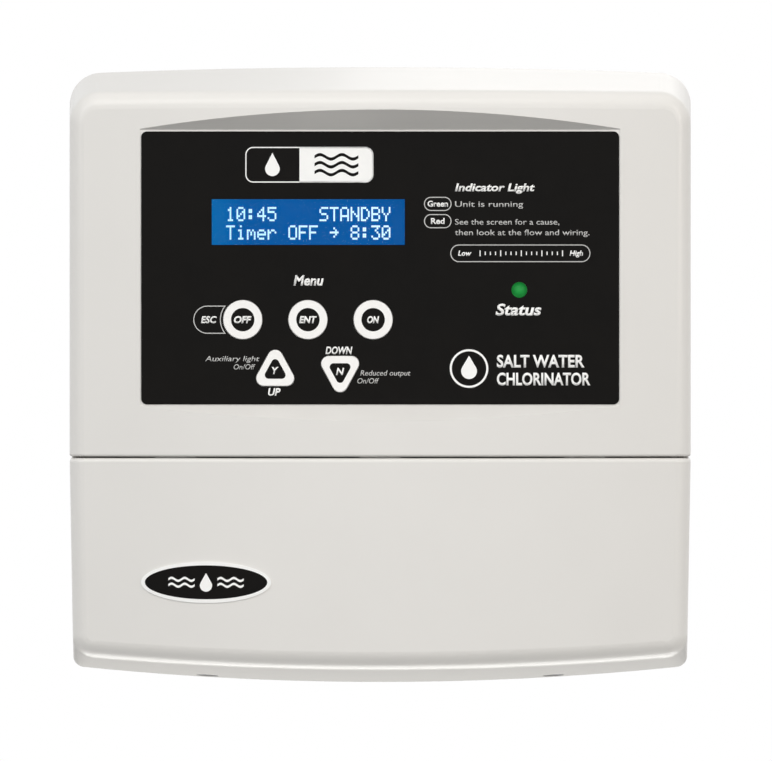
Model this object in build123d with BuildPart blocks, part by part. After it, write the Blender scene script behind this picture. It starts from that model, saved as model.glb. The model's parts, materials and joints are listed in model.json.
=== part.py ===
from build123d import *
import os

# Salt chlorine generator: the control box that hangs on the wall of a pool's plant room.
# Millimetres, +Z up. The origin is the centre of the wall bracket's screw pattern, on the wall.
# The front faces -Y, so "depth" below is the distance out from the wall, and a place given as
# (x, z) is seen from the front.

# ---------------------------------------------------------------- case
CASE_WIDTH = 216.0  # at the parting line
CASE_HEIGHT = 213.9
CASE_TOP = 109.0
CASE_BOTTOM = CASE_TOP - CASE_HEIGHT
PARTING = 40.0  # depth where the rear shell meets the two front shells
NOSE = 98.0  # depth of the front face on the centre line
BOW_RADIUS = 500.0  # the front face bows out across its width
EDGE_ROUND = 6.5
TOP_CROWN = 2.4
BOTTOM_CROWN = 5.6
TOP_CORNER = 11.0
FOOT_CORNER = 4.0
FOOT_CORNER_GROWTH = 5.5  # how much rounder the foot corners are at the nose
SIDE_DRAFT = 2.0
TOP_SLOPE = 10.5  # how far the top comes down between the parting line and the nose
BOTTOM_SLOPE = 6.4
WALL = 2.6
REAR_WALL = 3.0
SHADOW_STEP = 0.8  # the rear shell sits back from the front shells' edge
WALL_GAP = 0.5  # between the case's back and the wall
BACK_ROUND = 3.0
LOFT_OVERRUN = 6.0
THROUGH = 1.0  # a cut runs this far past the face that it leaves

# The seam between the housing and the wiring cover, and the cover's slightly tapered sides
SEAM = -26.0
SEAM_GAP = 0.5
SEAM_ROUND = 0.8
COVER_ROUND = 1.5
COVER_GAP = 0.3  # between the sliding cover and what it runs past
FOOT_TAPER = 1.3
LEAN = FOOT_TAPER / (SEAM - CASE_BOTTOM - BOTTOM_CROWN)

# ---------------------------------------------------------------- control panel
PANEL_WIDTH = 163.5
PANEL_HEIGHT = 93.4
PANEL_Z = 38.5
PANEL_CORNER = 2.0
OVERLAY_THICKNESS = 0.3
RECESS_DEPTH = 7.1  # from the nose to the panel seat
RECESS_MARGIN = 0.35
RECESS_TOP_LEDGE = 0.25  # bare strip of the seat above the overlay
TOP_FLARE = 6.7
BOTTOM_FLARE = 5.3
SEAT = NOSE - RECESS_DEPTH
OVERLAY_FRONT = SEAT + OVERLAY_THICKNESS
PANEL_BACK = SEAT - WALL

# Keys: place, and which way a triangular one points (0 is round)
KEYS = {
    "off": (-47.0, 20.8, 0),
    "enter": (-24.7, 20.8, 0),
    "on": (-2.4, 20.8, 0),
    "up": (-35.9, 4.3, 1),
    "down": (-13.7, 2.2, -1),
}
KEY_RADIUS = 6.65
TRIANGLE_WIDTH = 12.9
TRIANGLE_HEIGHT = 12.3
TRIANGLE_ROUND = 2.6
KEY_GAP = 0.2
KEY_PROUD = 0.25
KEY_EDGE = 0.2
KEY_THICKNESS = 1.4
KEY_TRAVEL = 0.5
KEY_OVERTRAVEL = 0.15
STEM_RADIUS = 2.0
STEM_GAP = 0.3
KEY_FRONT = OVERLAY_FRONT + KEY_PROUD
KEY_BACK = KEY_FRONT - KEY_THICKNESS
KEY_POCKET = KEY_BACK - KEY_TRAVEL - KEY_OVERTRAVEL

# Control board and what stands on it
CONTROL_BOARD_WIDTH = 150.0
CONTROL_BOARD_HEIGHT = 84.0
BOARD_THICKNESS = 1.6
CONTROL_FRONT = 78.0  # depth of the board's front face
CONTROL_BACK = CONTROL_FRONT - BOARD_THICKNESS
POST_RADIUS = 3.5
POST_INSET = 5.0
SWITCH_SIZE = 12.0
SWITCH_HEIGHT = 4.0
SWITCH_WELL = 2.0
SWITCH_FLOOR = CONTROL_FRONT + SWITCH_HEIGHT - SWITCH_WELL
BUTTON_RADIUS = 1.75
BUTTON_GAP = 0.15
STEM_BACK = 86.5  # depth where the key's stem meets the switch's button
# Packages on the board's back: x, z, width, height, thickness
CONTROL_CHIPS = [
    (-40.0, 60.0, 14.0, 14.0, 2.2),
    (-10.0, 60.0, 20.0, 8.0, 3.5),
    (20.0, 62.0, 10.0, 6.0, 2.0),
    (-42.0, 28.0, 18.0, 12.0, 6.0),
]
LED_X = 47.6
LED_Z = 31.0
LED_RADIUS = 2.5
LED_GAP = 0.2
LED_PROUD = 0.5
LED_DOME = 2.25
LED_FLANGE = 0.4
LED_FLANGE_HEIGHT = 1.0
LED_HOLDER_RADIUS = 3.6
LED_HOLDER_HEIGHT = 5.0
LED_LEAD_HOLE = 1.0

# Character display
DISPLAY_X = -24.6
DISPLAY_Z = 54.2
DISPLAY_WIDTH = 66.0
DISPLAY_HEIGHT = 15.6
BEZEL_WIDTH = 71.2
BEZEL_HEIGHT = 25.0
BEZEL_FRONT_GAP = 0.3
BEZEL_SHEET = 0.8
BEZEL_CLEARANCE = 0.4
DISPLAY_BOARD_WIDTH = 80.0
DISPLAY_BOARD_HEIGHT = 36.0
DISPLAY_STANDOFF = 4.0
DISPLAY_HOLE = 1.5
DISPLAY_HOLE_INSET = 2.5
SPACER_RADIUS = 2.4
GLASS_THICKNESS = 2.2
BEZEL_FRONT = SEAT - BEZEL_FRONT_GAP
DISPLAY_BOARD_BACK = CONTROL_FRONT + DISPLAY_STANDOFF
DISPLAY_BOARD_FRONT = DISPLAY_BOARD_BACK + BOARD_THICKNESS

# ---------------------------------------------------------------- wall bracket
BRACKET_WIDTH = 130.0
BRACKET_HEIGHT = 110.0
BRACKET_SHEET = 2.0
BRACKET_CORNER = 5.0
WALL_SCREWS_X = 100.0  # hole to hole
WALL_SCREWS_Z = 80.0
WALL_SCREW_HOLE = 2.5
TAB_WIDTH = 70.0
TAB_NOTCH_GAP = 3.0
TAB_FOOT = 42.0
TAB_TOP = 56.0
TAB_STEP = 3.6  # the tab stands this far off the wall
HOOK_GAP = 0.3
HOOK_SIDE_GAP = 2.0
HOOK_TOP_GAP = 1.0
LIFT = 13.0
POCKET_MARGIN = 3.0
POCKET_FLOOR = TAB_STEP + BRACKET_SHEET + 0.9
POCKET_WIDTH = BRACKET_WIDTH + 2 * POCKET_MARGIN
POCKET_TOP = TAB_TOP + POCKET_MARGIN
POCKET_BOTTOM = -BRACKET_HEIGHT / 2 - LIFT - POCKET_MARGIN

REAR_FLOOR = WALL_GAP + REAR_WALL
BOSS_FLOOR = POCKET_FLOOR + REAR_WALL  # the floor inside, over the bracket's pocket

# ---------------------------------------------------------------- fixings
CASE_SCREW_INSET_X = 14.0
CASE_SCREW_INSET_TOP = 15.5
CASE_SCREW_ABOVE_SEAM = 10.0
CASE_SCREWS = [
    (side * (CASE_WIDTH / 2 - CASE_SCREW_INSET_X), z)
    for side in (-1, 1)
    for z in (SEAM + CASE_SCREW_ABOVE_SEAM, CASE_TOP - CASE_SCREW_INSET_TOP)
]
CASE_SCREW_BOSS = 6.0
FRONT_BOSS = 5.0
CASE_SCREW_SHANK = 1.95
CASE_SCREW_HEAD = 3.8
CASE_SCREW_HEAD_HEIGHT = 2.6
CASE_SCREW_LAND = 18.0  # depth of the shoulder that the head pulls on
CASE_SCREW_BITE = 22.0
SCREW_CLEARANCE = 0.25
PILOT_CLEARANCE = 0.05
SMALL_SHANK = 1.45
SMALL_HEAD = 2.8
SMALL_HEAD_HEIGHT = 2.2
SMALL_BITE = 7.0
DRIVE_DEPTH = 1.2
DRIVE_LENGTH = 5.0
DRIVE_WIDTH = 0.9
SMALL_DRIVE_WIDTH = 0.8
PILOT_SPARE = 2.0  # a pilot hole is this much deeper than its screw

GASKET_WIDTH = 1.2
GASKET_INSET = 1.3
GASKET_DEPTH = 1.0

# ---------------------------------------------------------------- wiring compartment
GLAND_X = 62.0
GLAND_DEPTH = 21.0
UNDERSIDE_WIDTH = 180.0
UNDERSIDE_NEAR = 5.0
UNDERSIDE_FAR = PARTING - 4.0
UNDERSIDE_HEIGHT = 14.5  # the underside steps up this far, so that the glands don't show
GLAND_SEAT = CASE_BOTTOM + UNDERSIDE_HEIGHT
GLAND_THREAD = 7.9
GLAND_HOLE_GAP = 0.2
GLAND_FLANGE = 19.0
GLAND_FLANGE_HEIGHT = 3.5
GLAND_COLLAR_HEIGHT = 6.0
GLAND_BORE_GAP = 0.4  # between the cable and the body
DOME_BORE_GAP = 0.3  # and the dome nut
GLAND_THREAD_WALL = 0.8
GLAND_THREAD_SPARE = 2.0  # thread left above the locknut
GLAND_DOME_RADIUS = 10.0
GLAND_DOME_HEIGHT = 8.2
GLAND_DOME_ROUND = 2.5
GLAND_DOME_FLOOR = 1.5
GLAND_END_GAP = 0.2
GLAND_BORES = {-1: 4.5, 1: 5.5}  # cable radius on the left (mains) and on the right (cell)
SEAL_WALL = 1.6
LOCKNUT_SIZE = 22.0
LOCKNUT_HEIGHT = 4.0
OUTLET_WIDTH = 44.0
OUTLET_DEPTH = 28.0
OUTLET_CORNER = 4.0
OUTLET_NECK_WIDTH = 38.0
OUTLET_NECK_DEPTH = 22.0
OUTLET_NECK_HEIGHT = 20.0
OUTLET_PROUD = 4.0
PIN_SLOT_LENGTH = 6.8
PIN_SLOT_WIDTH = 2.0
PIN_PITCH = 7.9
PIN_ROW = 3.0  # from the outlet's middle back to the two splayed slots
EARTH_ROW = 6.9  # and forward to the third
PIN_SPLAY = 30.0
PIN_REACH = 15.0

TERMINAL_LENGTH = 110.0
TERMINAL_HEIGHT = 22.0
TERMINAL_DEPTH = 16.0
TERMINAL_WAYS = 10
TERMINAL_PITCH = 9.5
TERMINAL_Z = -56.0
TERMINAL_SCREW = 2.4
TERMINAL_SCREW_GAP = 0.2
TERMINAL_FIN = 1.6
TERMINAL_FIN_HEIGHT = 5.0
TERMINAL_WELL = 8.0
TERMINAL_SCREW_HEIGHT = 4.0
TERMINAL_DRIVE_DEPTH = 1.0
TERMINAL_FIXING_INSET = 4.0
TERMINAL_FIXING_LAND = 4.5  # height of the shoulder under a fixing screw's head
FIXING_SKIN = 0.6  # plastic left between a fixing hole and the bracket's pocket
FIXING_TIP_GAP = 0.2

LUG_X = 60.0
LUG_DEPTH = PARTING + 7.0  # depth of the cover's screws
LUG_HEIGHT = 9.0
LUG_SIZE = 12.0
LUG_ABOVE_FOOT = 11.0
LUG_ROOF = 1.5
LUG_TIP_GAP = 1.0
LUG_BOTTOM = CASE_BOTTOM + LUG_ABOVE_FOOT
COVER_SCREW_HEAD = 3.6
COVER_SCREW_SHANK = 1.95
COVER_SCREW_HEAD_HEIGHT = 2.2
COVER_BOSS = 5.5
COVER_SCREW_SUNK = 0.4  # how far the head sits inside the cover's underside

TONGUE_X = (-70.0, 0.0, 70.0)
TONGUE_WIDTH = 14.0
TONGUE_THICKNESS = 2.0
TONGUE_HEIGHT = 8.0
TONGUE_ROOT = 12.0
TONGUE_GAP = 0.4
TONGUE_SETBACK = 1.5
RAIL_INSET = 9.0  # from the case's side to the rail's inner face
RAIL_WEB = 2.6
RAIL_FLOOR = 4.0
RAIL_LIP = 2.0
RAIL_LIP_THICKNESS = 2.6
RAIL_TOP = SEAM - 8.0
RAIL_BOTTOM = LUG_BOTTOM + LUG_HEIGHT
RIB_THICKNESS = 2.6

BADGE_X = -59.5
BADGE_Z = -68.95
BADGE_WIDTH = 44.5
BADGE_HEIGHT = 14.1
BADGE_THICKNESS = 0.6
BADGE_SUNK = 0.3

# ---------------------------------------------------------------- power electronics
TOROID_X = -48.0
TOROID_Z = 50.0
TOROID_RADIUS = 46.0
TOROID_HOLE = 15.0
TOROID_HEIGHT = 38.0
TOROID_ROUND = 8.0
PAD_THICKNESS = 2.0
PAD_MARGIN = 4.0
SPIGOT_RADIUS = 11.0
PLATE_RADIUS = 32.0
PLATE_THICKNESS = 2.0
BOLT_RADIUS = 3.0
BOLT_GAP = 0.1
BOLT_HEAD = 10.0
BOLT_HEAD_HEIGHT = 4.0
BOLT_BITE = 28.0
TOROID_SEAT = BOSS_FLOOR + 2.5

POWER_X = 46.0
POWER_Z = 41.0
POWER_WIDTH = 80.0
POWER_HEIGHT = 110.0
POWER_BACK = BOSS_FLOOR + 5.0
POWER_FRONT = POWER_BACK + BOARD_THICKNESS
STANDOFF_RADIUS = 4.0
STANDOFF_INSET = 4.5

# What stands on the power board; places are measured from the board's middle
CAN_PLACES = [(-24.0, 36.0), (2.0, 36.0)]
CAN_RADIUS = 11.0
CAN_HEIGHT = 35.0
CAN_ROUND = 1.2
SINK_X = 24.0
SINK_Z = 8.0
SINK_LENGTH = 70.0
SINK_SHEET = 3.0
SINK_HEIGHT = 38.0
FIN_COUNT = 5
FIN_REACH = 11.0
FIN_ROOT = 0.5
FIN_THICKNESS = 1.6
FIN_MARGIN = 1.0
BRIDGE_THICKNESS = 5.0
BRIDGE_LENGTH = 24.0
BRIDGE_BOTTOM = 6.0
BRIDGE_TOP = 26.0
RELAY_PLACES = [(-24.0, 8.0), (-24.0, -18.0)]
RELAY_WIDTH = 18.0
RELAY_LENGTH = 22.0
RELAY_HEIGHT = 20.0
RELAY_ROUND = 0.8
FUSE_X = 2.0
FUSE_Z = -24.0
FUSE_RADIUS = 2.6
FUSE_LENGTH = 20.0
FUSE_HEIGHT = 6.0
CLIP_INSET = 3.0
CLIP_LENGTH = 5.0
CLIP_WIDTH = 9.0

SLOT_WIDTH = 34.0  # where the leads pass from the compartment into the housing
SLOT_NEAR = 14.0
SLOT_FAR = 26.0

RIBBON_X = 52.0
RIBBON_WIDTH = 20.0
RIBBON_THICKNESS = 1.0
RIBBON_BEND = 7.0
HEADER_HEIGHT = 8.5
HEADER_THICKNESS = 8.0
HEADER_WIDTH = 26.0
POWER_HEADER_Z = -4.0
CONTROL_HEADER_Z = 9.0

LEAD_RADIUS = 1.2
LEAD_BEND = 3.6
LEAD_PITCH = 6.0
LEAD_COUNT = 3
LEAD_BLOCK_X = 26.0
LEAD_BLOCK_Z = -3.0
LEAD_BLOCK_HEIGHT = 10.0
LEAD_BLOCK_THICKNESS = 10.0
LEAD_BLOCK_MARGIN = 1.0
LEAD_RISE = 6.0  # the middle lead leaves the ring this far above its mid height
LEAD_OUT = 0.5
LEAD_TURN_X = 8.0
LEAD_STEP = 2.0


# ---------------------------------------------------------------- shared shapes
def corners(width, height, x=0.0, z=0.0):
    """The four corners of a rectangle, as (x, z) places."""
    return [(x + i * width / 2, z + j * height / 2) for i in (-1, 1) for j in (-1, 1)]


def slab(x, z, width, height, near, far, mode=Mode.ADD):
    """A block centred on (x, z) between two depths."""
    with BuildSketch(Plane.XZ.offset(near)) as face:
        with Locations((x, z)):
            Rectangle(width, height)
    extrude(face.sketch, amount=far - near, mode=mode)


def disc(x, z, radius, near, far, mode=Mode.ADD):
    """A round bar that points forward, between two depths."""
    with BuildSketch(Plane.XZ.offset(near)) as face:
        with Locations((x, z)):
            Circle(radius)
    extrude(face.sketch, amount=far - near, mode=mode)


def upright(x, depth, radius, bottom, top, mode=Mode.ADD):
    """A round bar along Z."""
    with BuildSketch(Plane.XY.offset(bottom)) as face:
        with Locations((x, -depth)):
            Circle(radius)
    extrude(face.sketch, amount=top - bottom, mode=mode)


def hexagon(x, depth, across_flats, bottom, top, mode=Mode.ADD):
    """A hexagonal bar along Z."""
    with BuildSketch(Plane.XY.offset(bottom)) as face:
        with Locations((x, -depth)):
            RegularPolygon(across_flats / 2, 6, major_radius=False)
    extrude(face.sketch, amount=top - bottom, mode=mode)


def floor_block(x, depth, width, thickness, bottom, top, mode=Mode.ADD):
    """A block centred on (x, depth) in plan, between two heights."""
    with BuildSketch(Plane.XY.offset(bottom)) as face:
        with Locations((x, -depth)):
            Rectangle(width, thickness)
    extrude(face.sketch, amount=top - bottom, mode=mode)


def cross_slot(x, z, length, width, near, far):
    """The cross in the head of a screw that points forward or back."""
    slab(x, z, length, width, near, far, Mode.SUBTRACT)
    slab(x, z, width, length, near, far, Mode.SUBTRACT)


def write(builder, node):
    """Label a finished piece and write it as its node's file."""
    builder.part.label = node
    export_step(builder.part, f"parts/{node}.step")


def bow_sag(x):
    """How far the bowed face has dropped back at x."""
    return BOW_RADIUS - (BOW_RADIUS**2 - x**2) ** 0.5


def outline(depth, inset, lean):
    """The case's outline at a depth, pulled in by inset; lean narrows it below the seam."""
    share = (depth - PARTING) / (NOSE - PARTING)
    half = CASE_WIDTH / 2 - SIDE_DRAFT * share - inset
    top = CASE_TOP - TOP_SLOPE * share - inset
    bottom = CASE_BOTTOM + BOTTOM_SLOPE * share + inset
    shoulder = top - TOP_CROWN
    ankle = bottom + BOTTOM_CROWN
    head = half + lean * (shoulder - SEAM)
    foot = half + lean * (ankle - SEAM)
    with BuildSketch(Plane.XZ.offset(depth)) as face:
        with BuildLine():
            ThreePointArc((-head, shoulder), (0, top), (head, shoulder))
            Line((head, shoulder), (foot, ankle))
            ThreePointArc((foot, ankle), (0, bottom), (-foot, ankle))
            Line((-foot, ankle), (-head, shoulder))
        make_face()
        fillet(face.vertices().group_by(Axis.Y)[-1], TOP_CORNER - inset)
        fillet(face.vertices().group_by(Axis.Y)[0], FOOT_CORNER + FOOT_CORNER_GROWTH * share - inset)
    return face.sketch


def front_form(inset, lean):
    """The case from the parting line to its bowed face, as a solid, pulled in by inset."""
    with BuildPart() as front:
        loft([outline(PARTING, inset, lean), outline(NOSE + LOFT_OVERRUN, inset, lean)], ruled=True)
        with BuildSketch(Plane.XY.offset(CASE_BOTTOM)):
            with Locations((0, BOW_RADIUS - NOSE)):
                Circle(BOW_RADIUS - inset)
        extrude(amount=CASE_HEIGHT, mode=Mode.INTERSECT)
        bow = front.faces().sort_by(Axis.Y)[0]
        fillet(bow.edges(), EDGE_ROUND - inset)
    return front.part


def rear_form(inset, near):
    """The case from a depth to the parting line, as a solid, straight above the seam."""
    with BuildPart() as upper:
        extrude(outline(PARTING, inset, 0), amount=-(PARTING - near))
        split(bisect_by=Plane.XY.offset(SEAM), keep=Keep.TOP)
    with BuildPart() as rear:
        extrude(outline(PARTING, inset, LEAN), amount=-(PARTING - near))
        split(bisect_by=Plane.XY.offset(SEAM), keep=Keep.BOTTOM)
        add(upper.part)
    return rear.part


def panel_recess(grow):
    """The stepped-in seat of the control panel, open to the front and flared above and below."""
    reach = (RECESS_DEPTH + LOFT_OVERRUN) / RECESS_DEPTH
    half = PANEL_HEIGHT / 2 + RECESS_MARGIN + grow
    seat = -(SEAT - grow)
    front = -(NOSE + LOFT_OVERRUN - grow)
    with BuildPart() as recess:
        with BuildSketch(Plane.YZ):
            with BuildLine():
                Polyline(
                    (seat, PANEL_Z - half),
                    (front, PANEL_Z - half - BOTTOM_FLARE * reach),
                    (front, PANEL_Z + half + RECESS_TOP_LEDGE + TOP_FLARE * reach),
                    (seat, PANEL_Z + half + RECESS_TOP_LEDGE),
                    close=True,
                )
            make_face()
        extrude(amount=PANEL_WIDTH / 2 + RECESS_MARGIN + grow, both=True)
    return recess.part


def key_face(key, depth, grow=0.0):
    """Outline of one key at a depth: a disc, or a rounded triangle that points up or down."""
    x, z, point = KEYS[key]
    side = TRIANGLE_WIDTH / 2 - TRIANGLE_ROUND
    rise = point * (TRIANGLE_HEIGHT / 2 - TRIANGLE_ROUND)
    with BuildSketch(Plane.XZ.offset(depth)) as face:
        if point == 0:
            with Locations((x, z)):
                Circle(KEY_RADIUS + grow)
        else:
            with Locations((x - side, z - rise), (x + side, z - rise), (x, z + rise)):
                Circle(TRIANGLE_ROUND + grow)
            make_hull()
    return face.sketch


# ---------------------------------------------------------------- wall bracket and rear shell
def make_wall_bracket():
    notch = TAB_WIDTH + 2 * TAB_NOTCH_GAP
    above_tab = BRACKET_HEIGHT / 2 - TAB_FOOT
    tab_front = TAB_STEP + BRACKET_SHEET
    tab_height = TAB_TOP - TAB_FOOT + BRACKET_SHEET
    with BuildPart() as bracket:
        slab(0, 0, BRACKET_WIDTH, BRACKET_HEIGHT, 0, BRACKET_SHEET)
        fillet(bracket.edges().filter_by(Axis.Y), BRACKET_CORNER)
        slab(0, TAB_FOOT + above_tab / 2, notch, above_tab, 0, BRACKET_SHEET, Mode.SUBTRACT)
        slab(0, TAB_FOOT - BRACKET_SHEET / 2, TAB_WIDTH, BRACKET_SHEET, 0, tab_front)
        slab(0, TAB_TOP - tab_height / 2, TAB_WIDTH, tab_height, TAB_STEP, tab_front)
        for x, z in corners(WALL_SCREWS_X, WALL_SCREWS_Z):
            disc(x, z, WALL_SCREW_HOLE, -THROUGH, BRACKET_SHEET + THROUGH, Mode.SUBTRACT)
    write(bracket, "wall_bracket")


def rear_hollow():
    """The space inside the rear shell, less everything that stands in it."""
    rail_x = CASE_WIDTH / 2 - RAIL_INSET
    pocket_z = (POCKET_TOP + POCKET_BOTTOM) / 2
    pocket_height = POCKET_TOP - POCKET_BOTTOM
    with BuildPart() as hollow:
        add(rear_form(SHADOW_STEP + REAR_WALL, REAR_FLOOR))
        slab(
            0, pocket_z, POCKET_WIDTH + 2 * REAR_WALL, pocket_height + 2 * REAR_WALL,
            0, BOSS_FLOOR, Mode.SUBTRACT,
        )
        slab(0, SEAM + WALL / 2, CASE_WIDTH, WALL, 0, PARTING, Mode.SUBTRACT)
        for x, z in CASE_SCREWS:
            disc(x, z, CASE_SCREW_BOSS, 0, PARTING, Mode.SUBTRACT)
        disc(TOROID_X, TOROID_Z, TOROID_HOLE + PAD_MARGIN, 0, TOROID_SEAT, Mode.SUBTRACT)
        spigot_top = TOROID_SEAT + TOROID_HEIGHT - PAD_MARGIN
        disc(TOROID_X, TOROID_Z, SPIGOT_RADIUS, 0, min(spigot_top, PARTING), Mode.SUBTRACT)
        for x, z in power_holes():
            disc(x, z, STANDOFF_RADIUS, 0, POWER_BACK, Mode.SUBTRACT)
        roof = GLAND_SEAT + REAR_WALL
        floor_block(
            0, (UNDERSIDE_NEAR + UNDERSIDE_FAR) / 2, UNDERSIDE_WIDTH + 2 * REAR_WALL,
            2 * PARTING, CASE_BOTTOM, roof, Mode.SUBTRACT,
        )
        for side in (-1, 1):
            x = side * (rail_x + RAIL_INSET / 2)
            height = RAIL_TOP - RAIL_BOTTOM
            slab(
                x, RAIL_BOTTOM + height / 2, RAIL_INSET, height,
                PARTING - RAIL_FLOOR, PARTING, Mode.SUBTRACT,
            )
    return hollow.part


def gasket_ring(near, far):
    """The seal's loop round the electronics: the rear shell's rim above the seam."""
    with BuildPart() as inner:
        extrude(outline(near, GASKET_INSET + GASKET_WIDTH, 0), amount=far - near)
        split(bisect_by=Plane.XY.offset(SEAM + (WALL + GASKET_WIDTH) / 2), keep=Keep.TOP)
    with BuildPart() as ring:
        extrude(outline(near, GASKET_INSET, 0), amount=far - near)
        split(bisect_by=Plane.XY.offset(SEAM + (WALL - GASKET_WIDTH) / 2), keep=Keep.TOP)
        add(inner.part, mode=Mode.SUBTRACT)
    return ring.part


def make_hook():
    """The hook inside the pocket that hangs behind the bracket's tab."""
    width = TAB_WIDTH - 2 * HOOK_SIDE_GAP
    bottom = TAB_FOOT + HOOK_GAP
    height = POCKET_TOP - bottom
    root = POCKET_TOP - TAB_TOP - HOOK_TOP_GAP
    slab(0, bottom + height / 2, width, height, WALL_GAP, TAB_STEP - HOOK_GAP)
    slab(0, POCKET_TOP - root / 2, width, root, WALL_GAP, POCKET_FLOOR + THROUGH)


def cut_screw_holes():
    """Holes in the rear shell for the case's screws, the transformer's bolt and small screws."""
    for x, z in CASE_SCREWS:
        disc(x, z, CASE_SCREW_HEAD + SCREW_CLEARANCE, 0, CASE_SCREW_LAND, Mode.SUBTRACT)
        disc(x, z, CASE_SCREW_SHANK + SCREW_CLEARANCE, 0, PARTING, Mode.SUBTRACT)
    disc(TOROID_X, TOROID_Z, BOLT_RADIUS + BOLT_GAP, TOROID_SEAT, PARTING, Mode.SUBTRACT)
    pilot = SMALL_SHANK + PILOT_CLEARANCE
    for x, z in power_holes():
        disc(x, z, pilot, REAR_FLOOR + THROUGH, POWER_BACK, Mode.SUBTRACT)
    for x in terminal_fixings():
        disc(x, TERMINAL_Z, pilot, POCKET_FLOOR + FIXING_SKIN, BOSS_FLOOR + THROUGH, Mode.SUBTRACT)


def cut_underside():
    """The stepped-up underside, its holes for glands and outlet, and the slot for the leads."""
    low = GLAND_SEAT - THROUGH
    high = GLAND_SEAT + REAR_WALL + THROUGH
    floor_block(
        0, (UNDERSIDE_NEAR + UNDERSIDE_FAR) / 2, UNDERSIDE_WIDTH, UNDERSIDE_FAR - UNDERSIDE_NEAR,
        CASE_BOTTOM - THROUGH, GLAND_SEAT, Mode.SUBTRACT,
    )
    for side in (-1, 1):
        upright(
            side * GLAND_X, GLAND_DEPTH, GLAND_THREAD + GLAND_HOLE_GAP, low, high, Mode.SUBTRACT
        )
    floor_block(
        0, GLAND_DEPTH, OUTLET_NECK_WIDTH + 2 * GLAND_HOLE_GAP,
        OUTLET_NECK_DEPTH + 2 * GLAND_HOLE_GAP, low, high, Mode.SUBTRACT,
    )
    floor_block(
        0, (SLOT_NEAR + SLOT_FAR) / 2, SLOT_WIDTH, SLOT_FAR - SLOT_NEAR,
        SEAM - THROUGH, SEAM + WALL + THROUGH, Mode.SUBTRACT,
    )


def make_lug_and_rail(side):
    """One side's lug for a cover screw and the rail that the cover's rib runs behind."""
    slab(
        side * LUG_X, LUG_BOTTOM + LUG_HEIGHT / 2, LUG_SIZE, LUG_HEIGHT,
        PARTING - RAIL_FLOOR, LUG_DEPTH + LUG_SIZE / 2,
    )
    upright(
        side * LUG_X, LUG_DEPTH, COVER_SCREW_SHANK + PILOT_CLEARANCE,
        LUG_BOTTOM - THROUGH, LUG_BOTTOM + LUG_HEIGHT - LUG_ROOF, Mode.SUBTRACT,
    )
    rail_face = CASE_WIDTH / 2 - RAIL_INSET
    lip_width = RAIL_WEB + RAIL_LIP
    lip_near = PARTING + 2 * COVER_GAP + RIB_THICKNESS + COVER_GAP
    height = RAIL_TOP - RAIL_BOTTOM
    middle = RAIL_BOTTOM + height / 2
    slab(
        side * (rail_face + RAIL_WEB / 2), middle, RAIL_WEB, height, PARTING - RAIL_FLOOR, lip_near
    )
    slab(
        side * (rail_face + lip_width / 2), middle, lip_width, height,
        lip_near, lip_near + RAIL_LIP_THICKNESS,
    )


def make_rear_shell():
    pocket_z = (POCKET_TOP + POCKET_BOTTOM) / 2
    with BuildPart() as shell:
        add(rear_form(SHADOW_STEP, WALL_GAP))
        fillet(shell.faces().sort_by(Axis.Y)[-1].edges(), BACK_ROUND)
        add(rear_hollow(), mode=Mode.SUBTRACT)
        slab(0, pocket_z, POCKET_WIDTH, POCKET_TOP - POCKET_BOTTOM, 0, POCKET_FLOOR, Mode.SUBTRACT)
        make_hook()
        cut_screw_holes()
        cut_underside()
        for side in (-1, 1):
            make_lug_and_rail(side)
        add(gasket_ring(PARTING - GASKET_DEPTH, PARTING), mode=Mode.SUBTRACT)
    write(shell, "rear_shell")


def make_housing_gasket():
    with BuildPart() as gasket:
        add(gasket_ring(PARTING - GASKET_DEPTH, PARTING))
    write(gasket, "housing_gasket")


# ---------------------------------------------------------------- front shells
def cut_panel_seat():
    """Pockets and holes in the panel's seat for the keys, the status light and the display."""
    for key, (x, z, _) in KEYS.items():
        extrude(key_face(key, KEY_POCKET, KEY_GAP), amount=RECESS_DEPTH, mode=Mode.SUBTRACT)
        disc(x, z, STEM_RADIUS + STEM_GAP, PANEL_BACK - THROUGH, SEAT, Mode.SUBTRACT)
    disc(LED_X, LED_Z, LED_RADIUS + LED_GAP, PANEL_BACK - THROUGH, SEAT + THROUGH, Mode.SUBTRACT)
    slab(
        DISPLAY_X, DISPLAY_Z, BEZEL_WIDTH + 2 * BEZEL_CLEARANCE,
        BEZEL_HEIGHT + 2 * BEZEL_CLEARANCE, PANEL_BACK - THROUGH, SEAT + THROUGH, Mode.SUBTRACT,
    )


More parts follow.
